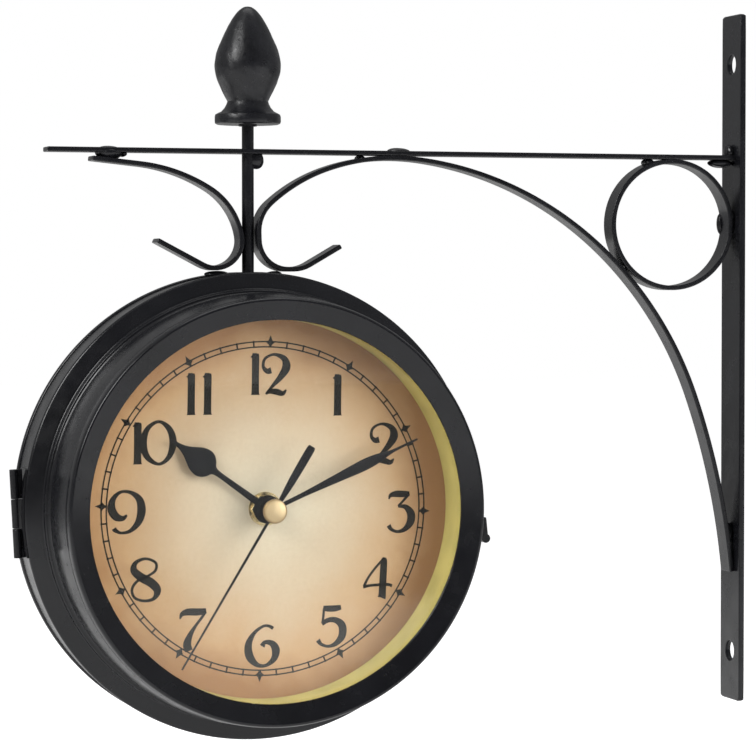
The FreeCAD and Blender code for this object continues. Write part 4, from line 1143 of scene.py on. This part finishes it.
def area_lamp(name, place_m, size_m, power, glossy):
    """Rectangular soft lamp that looks at the clock."""
    data = bpy.data.lights.new(name, "AREA")
    data.shape = "RECTANGLE"
    data.size, data.size_y = size_m
    data.energy = power
    lamp = bpy.data.objects.new(name, data)
    lamp.location = place_m
    lamp.rotation_euler = (Vector(LAMP_AIM_M) - Vector(place_m)).to_track_quat("-Z", "Y").to_euler()
    lamp.visible_glossy = glossy
    bpy.context.scene.collection.objects.link(lamp)


def studio_world(strength):
    """Pale surround: plain white for the camera and through glass, and for other rays bright behind the
    clock and dimmer on the viewer's side."""
    world = bpy.data.worlds.new("Pale studio")
    bpy.context.scene.world = world
    world.use_nodes = True
    n = Nodes(world.node_tree)
    direction = n.add("ShaderNodeTexCoord").outputs["Generated"]
    behind = n.vector("DOT_PRODUCT", direction, (0.29, 0.94, 0.18), "Value")
    fade = n.spread(behind, 0.2 * strength, strength, -0.8, 0.1, interpolation_type="SMOOTHSTEP")
    path = n.add("ShaderNodeLightPath").outputs
    through = n.math("MAXIMUM", path["Is Camera Ray"], path["Is Transmission Ray"])
    seen = n.math("MULTIPLY", through, n.math("LESS_THAN", path["Diffuse Depth"], 0.5))
    level = n.add("ShaderNodeMix", [(0, seen), (2, fade), (3, 1.0)], data_type="FLOAT")
    background = n.nodes["Background"]
    n.links.new(level.outputs[0], background.inputs["Strength"])
    background.inputs["Color"].default_value = (1, 1, 1, 1)


def studio_floor(height_m):
    """Wide pale floor. Camera rays see it brighter than its light, so that it meets the white surround but
    keeps the shadow."""
    half = FLOOR_HALF_M
    corners = [(-half, -half, height_m), (half, -half, height_m), (half, half, height_m),
               (-half, half, height_m)]
    mesh = bpy.data.meshes.new("floor")
    mesh.from_pydata(corners, [], [(0, 1, 2, 3)])
    floor = bpy.data.objects.new("floor", mesh)
    bpy.context.scene.collection.objects.link(floor)
    f = Finish("Studio floor", Roughness=0.9, Specular_IOR_Level=0.1, Emission_Color=(1, 1, 1, 1))
    f.colour(f.ramp(f.noise(400, 2), [(0.2, (0.86, 0.86, 0.86)), (0.8, (0.9, 0.9, 0.9))]))
    seen = f.add("ShaderNodeLightPath").outputs["Is Camera Ray"]
    f.links.new(f.math("MULTIPLY", seen, 0.8), f.shader.inputs["Emission Strength"])
    mesh.materials.append(f.material)


class STATION_CLOCK_OT_studio(bpy.types.Operator):
    """Floor, surround, lamps and the camera of the photograph"""

    bl_idname = "station_clock.studio"
    bl_label = "Studio"

    def execute(self, context):
        settings = context.scene.station_clock_studio
        studio_floor(settings.floor_z)
        studio_world(settings.surround)
        for name, place_m, size_m, share, glossy in LAMPS:
            area_lamp(name, place_m, size_m, settings.key_power * share, glossy)
        data = bpy.data.cameras.new("camera")
        data.lens = CAMERA_LENS
        data.sensor_width = 36.0
        camera = bpy.data.objects.new("camera", data)
        camera.location = CAMERA_M
        camera.rotation_euler = Vector(CAMERA_AIM).to_track_quat("-Z", "Y").to_euler()
        context.scene.collection.objects.link(camera)
        context.scene.camera = camera
        context.scene.view_settings.view_transform = "Standard"
        return {"FINISHED"}


# ---------------------------------------------------------------- add-on
OPERATORS = (STATION_CLOCK_OT_bracket_bars, STATION_CLOCK_OT_welds, STATION_CLOCK_OT_post,
             STATION_CLOCK_OT_drum, STATION_CLOCK_OT_windows, STATION_CLOCK_OT_hinge_and_catch,
             STATION_CLOCK_OT_dials, STATION_CLOCK_OT_hands, STATION_CLOCK_OT_movements,
             STATION_CLOCK_OT_studio)
SETTINGS = {"station_clock_paint": StationClockPaint, "station_clock_dial": StationClockDial,
            "station_clock_studio": StationClockStudio}


class STATION_CLOCK_PT_panel(bpy.types.Panel):
    """Settings and steps of the station clock"""

    bl_label = "Station clock"
    bl_idname = "STATION_CLOCK_PT_panel"
    bl_space_type = "VIEW_3D"
    bl_region_type = "UI"
    bl_category = "Station clock"

    def draw(self, context):
        for group, kind in SETTINGS.items():
            box = self.layout.box()
            for setting in kind.__annotations__:
                box.prop(getattr(context.scene, group), setting)
        for operator in OPERATORS:
            self.layout.operator(operator.bl_idname)


CLASSES = (*SETTINGS.values(), *OPERATORS, STATION_CLOCK_PT_panel)


def register():
    for cls in CLASSES:
        bpy.utils.register_class(cls)
    for group, kind in SETTINGS.items():
        setattr(bpy.types.Scene, group, bpy.props.PointerProperty(type=kind))


def unregister():
    for group in SETTINGS:
        delattr(bpy.types.Scene, group)
    for cls in reversed(CLASSES):
        bpy.utils.unregister_class(cls)


def main():
    register()
    for operator in OPERATORS:
        step = operator.bl_idname.split(".")[1]
        getattr(bpy.ops.station_clock, step)()


if __name__ == "__main__":
    main()
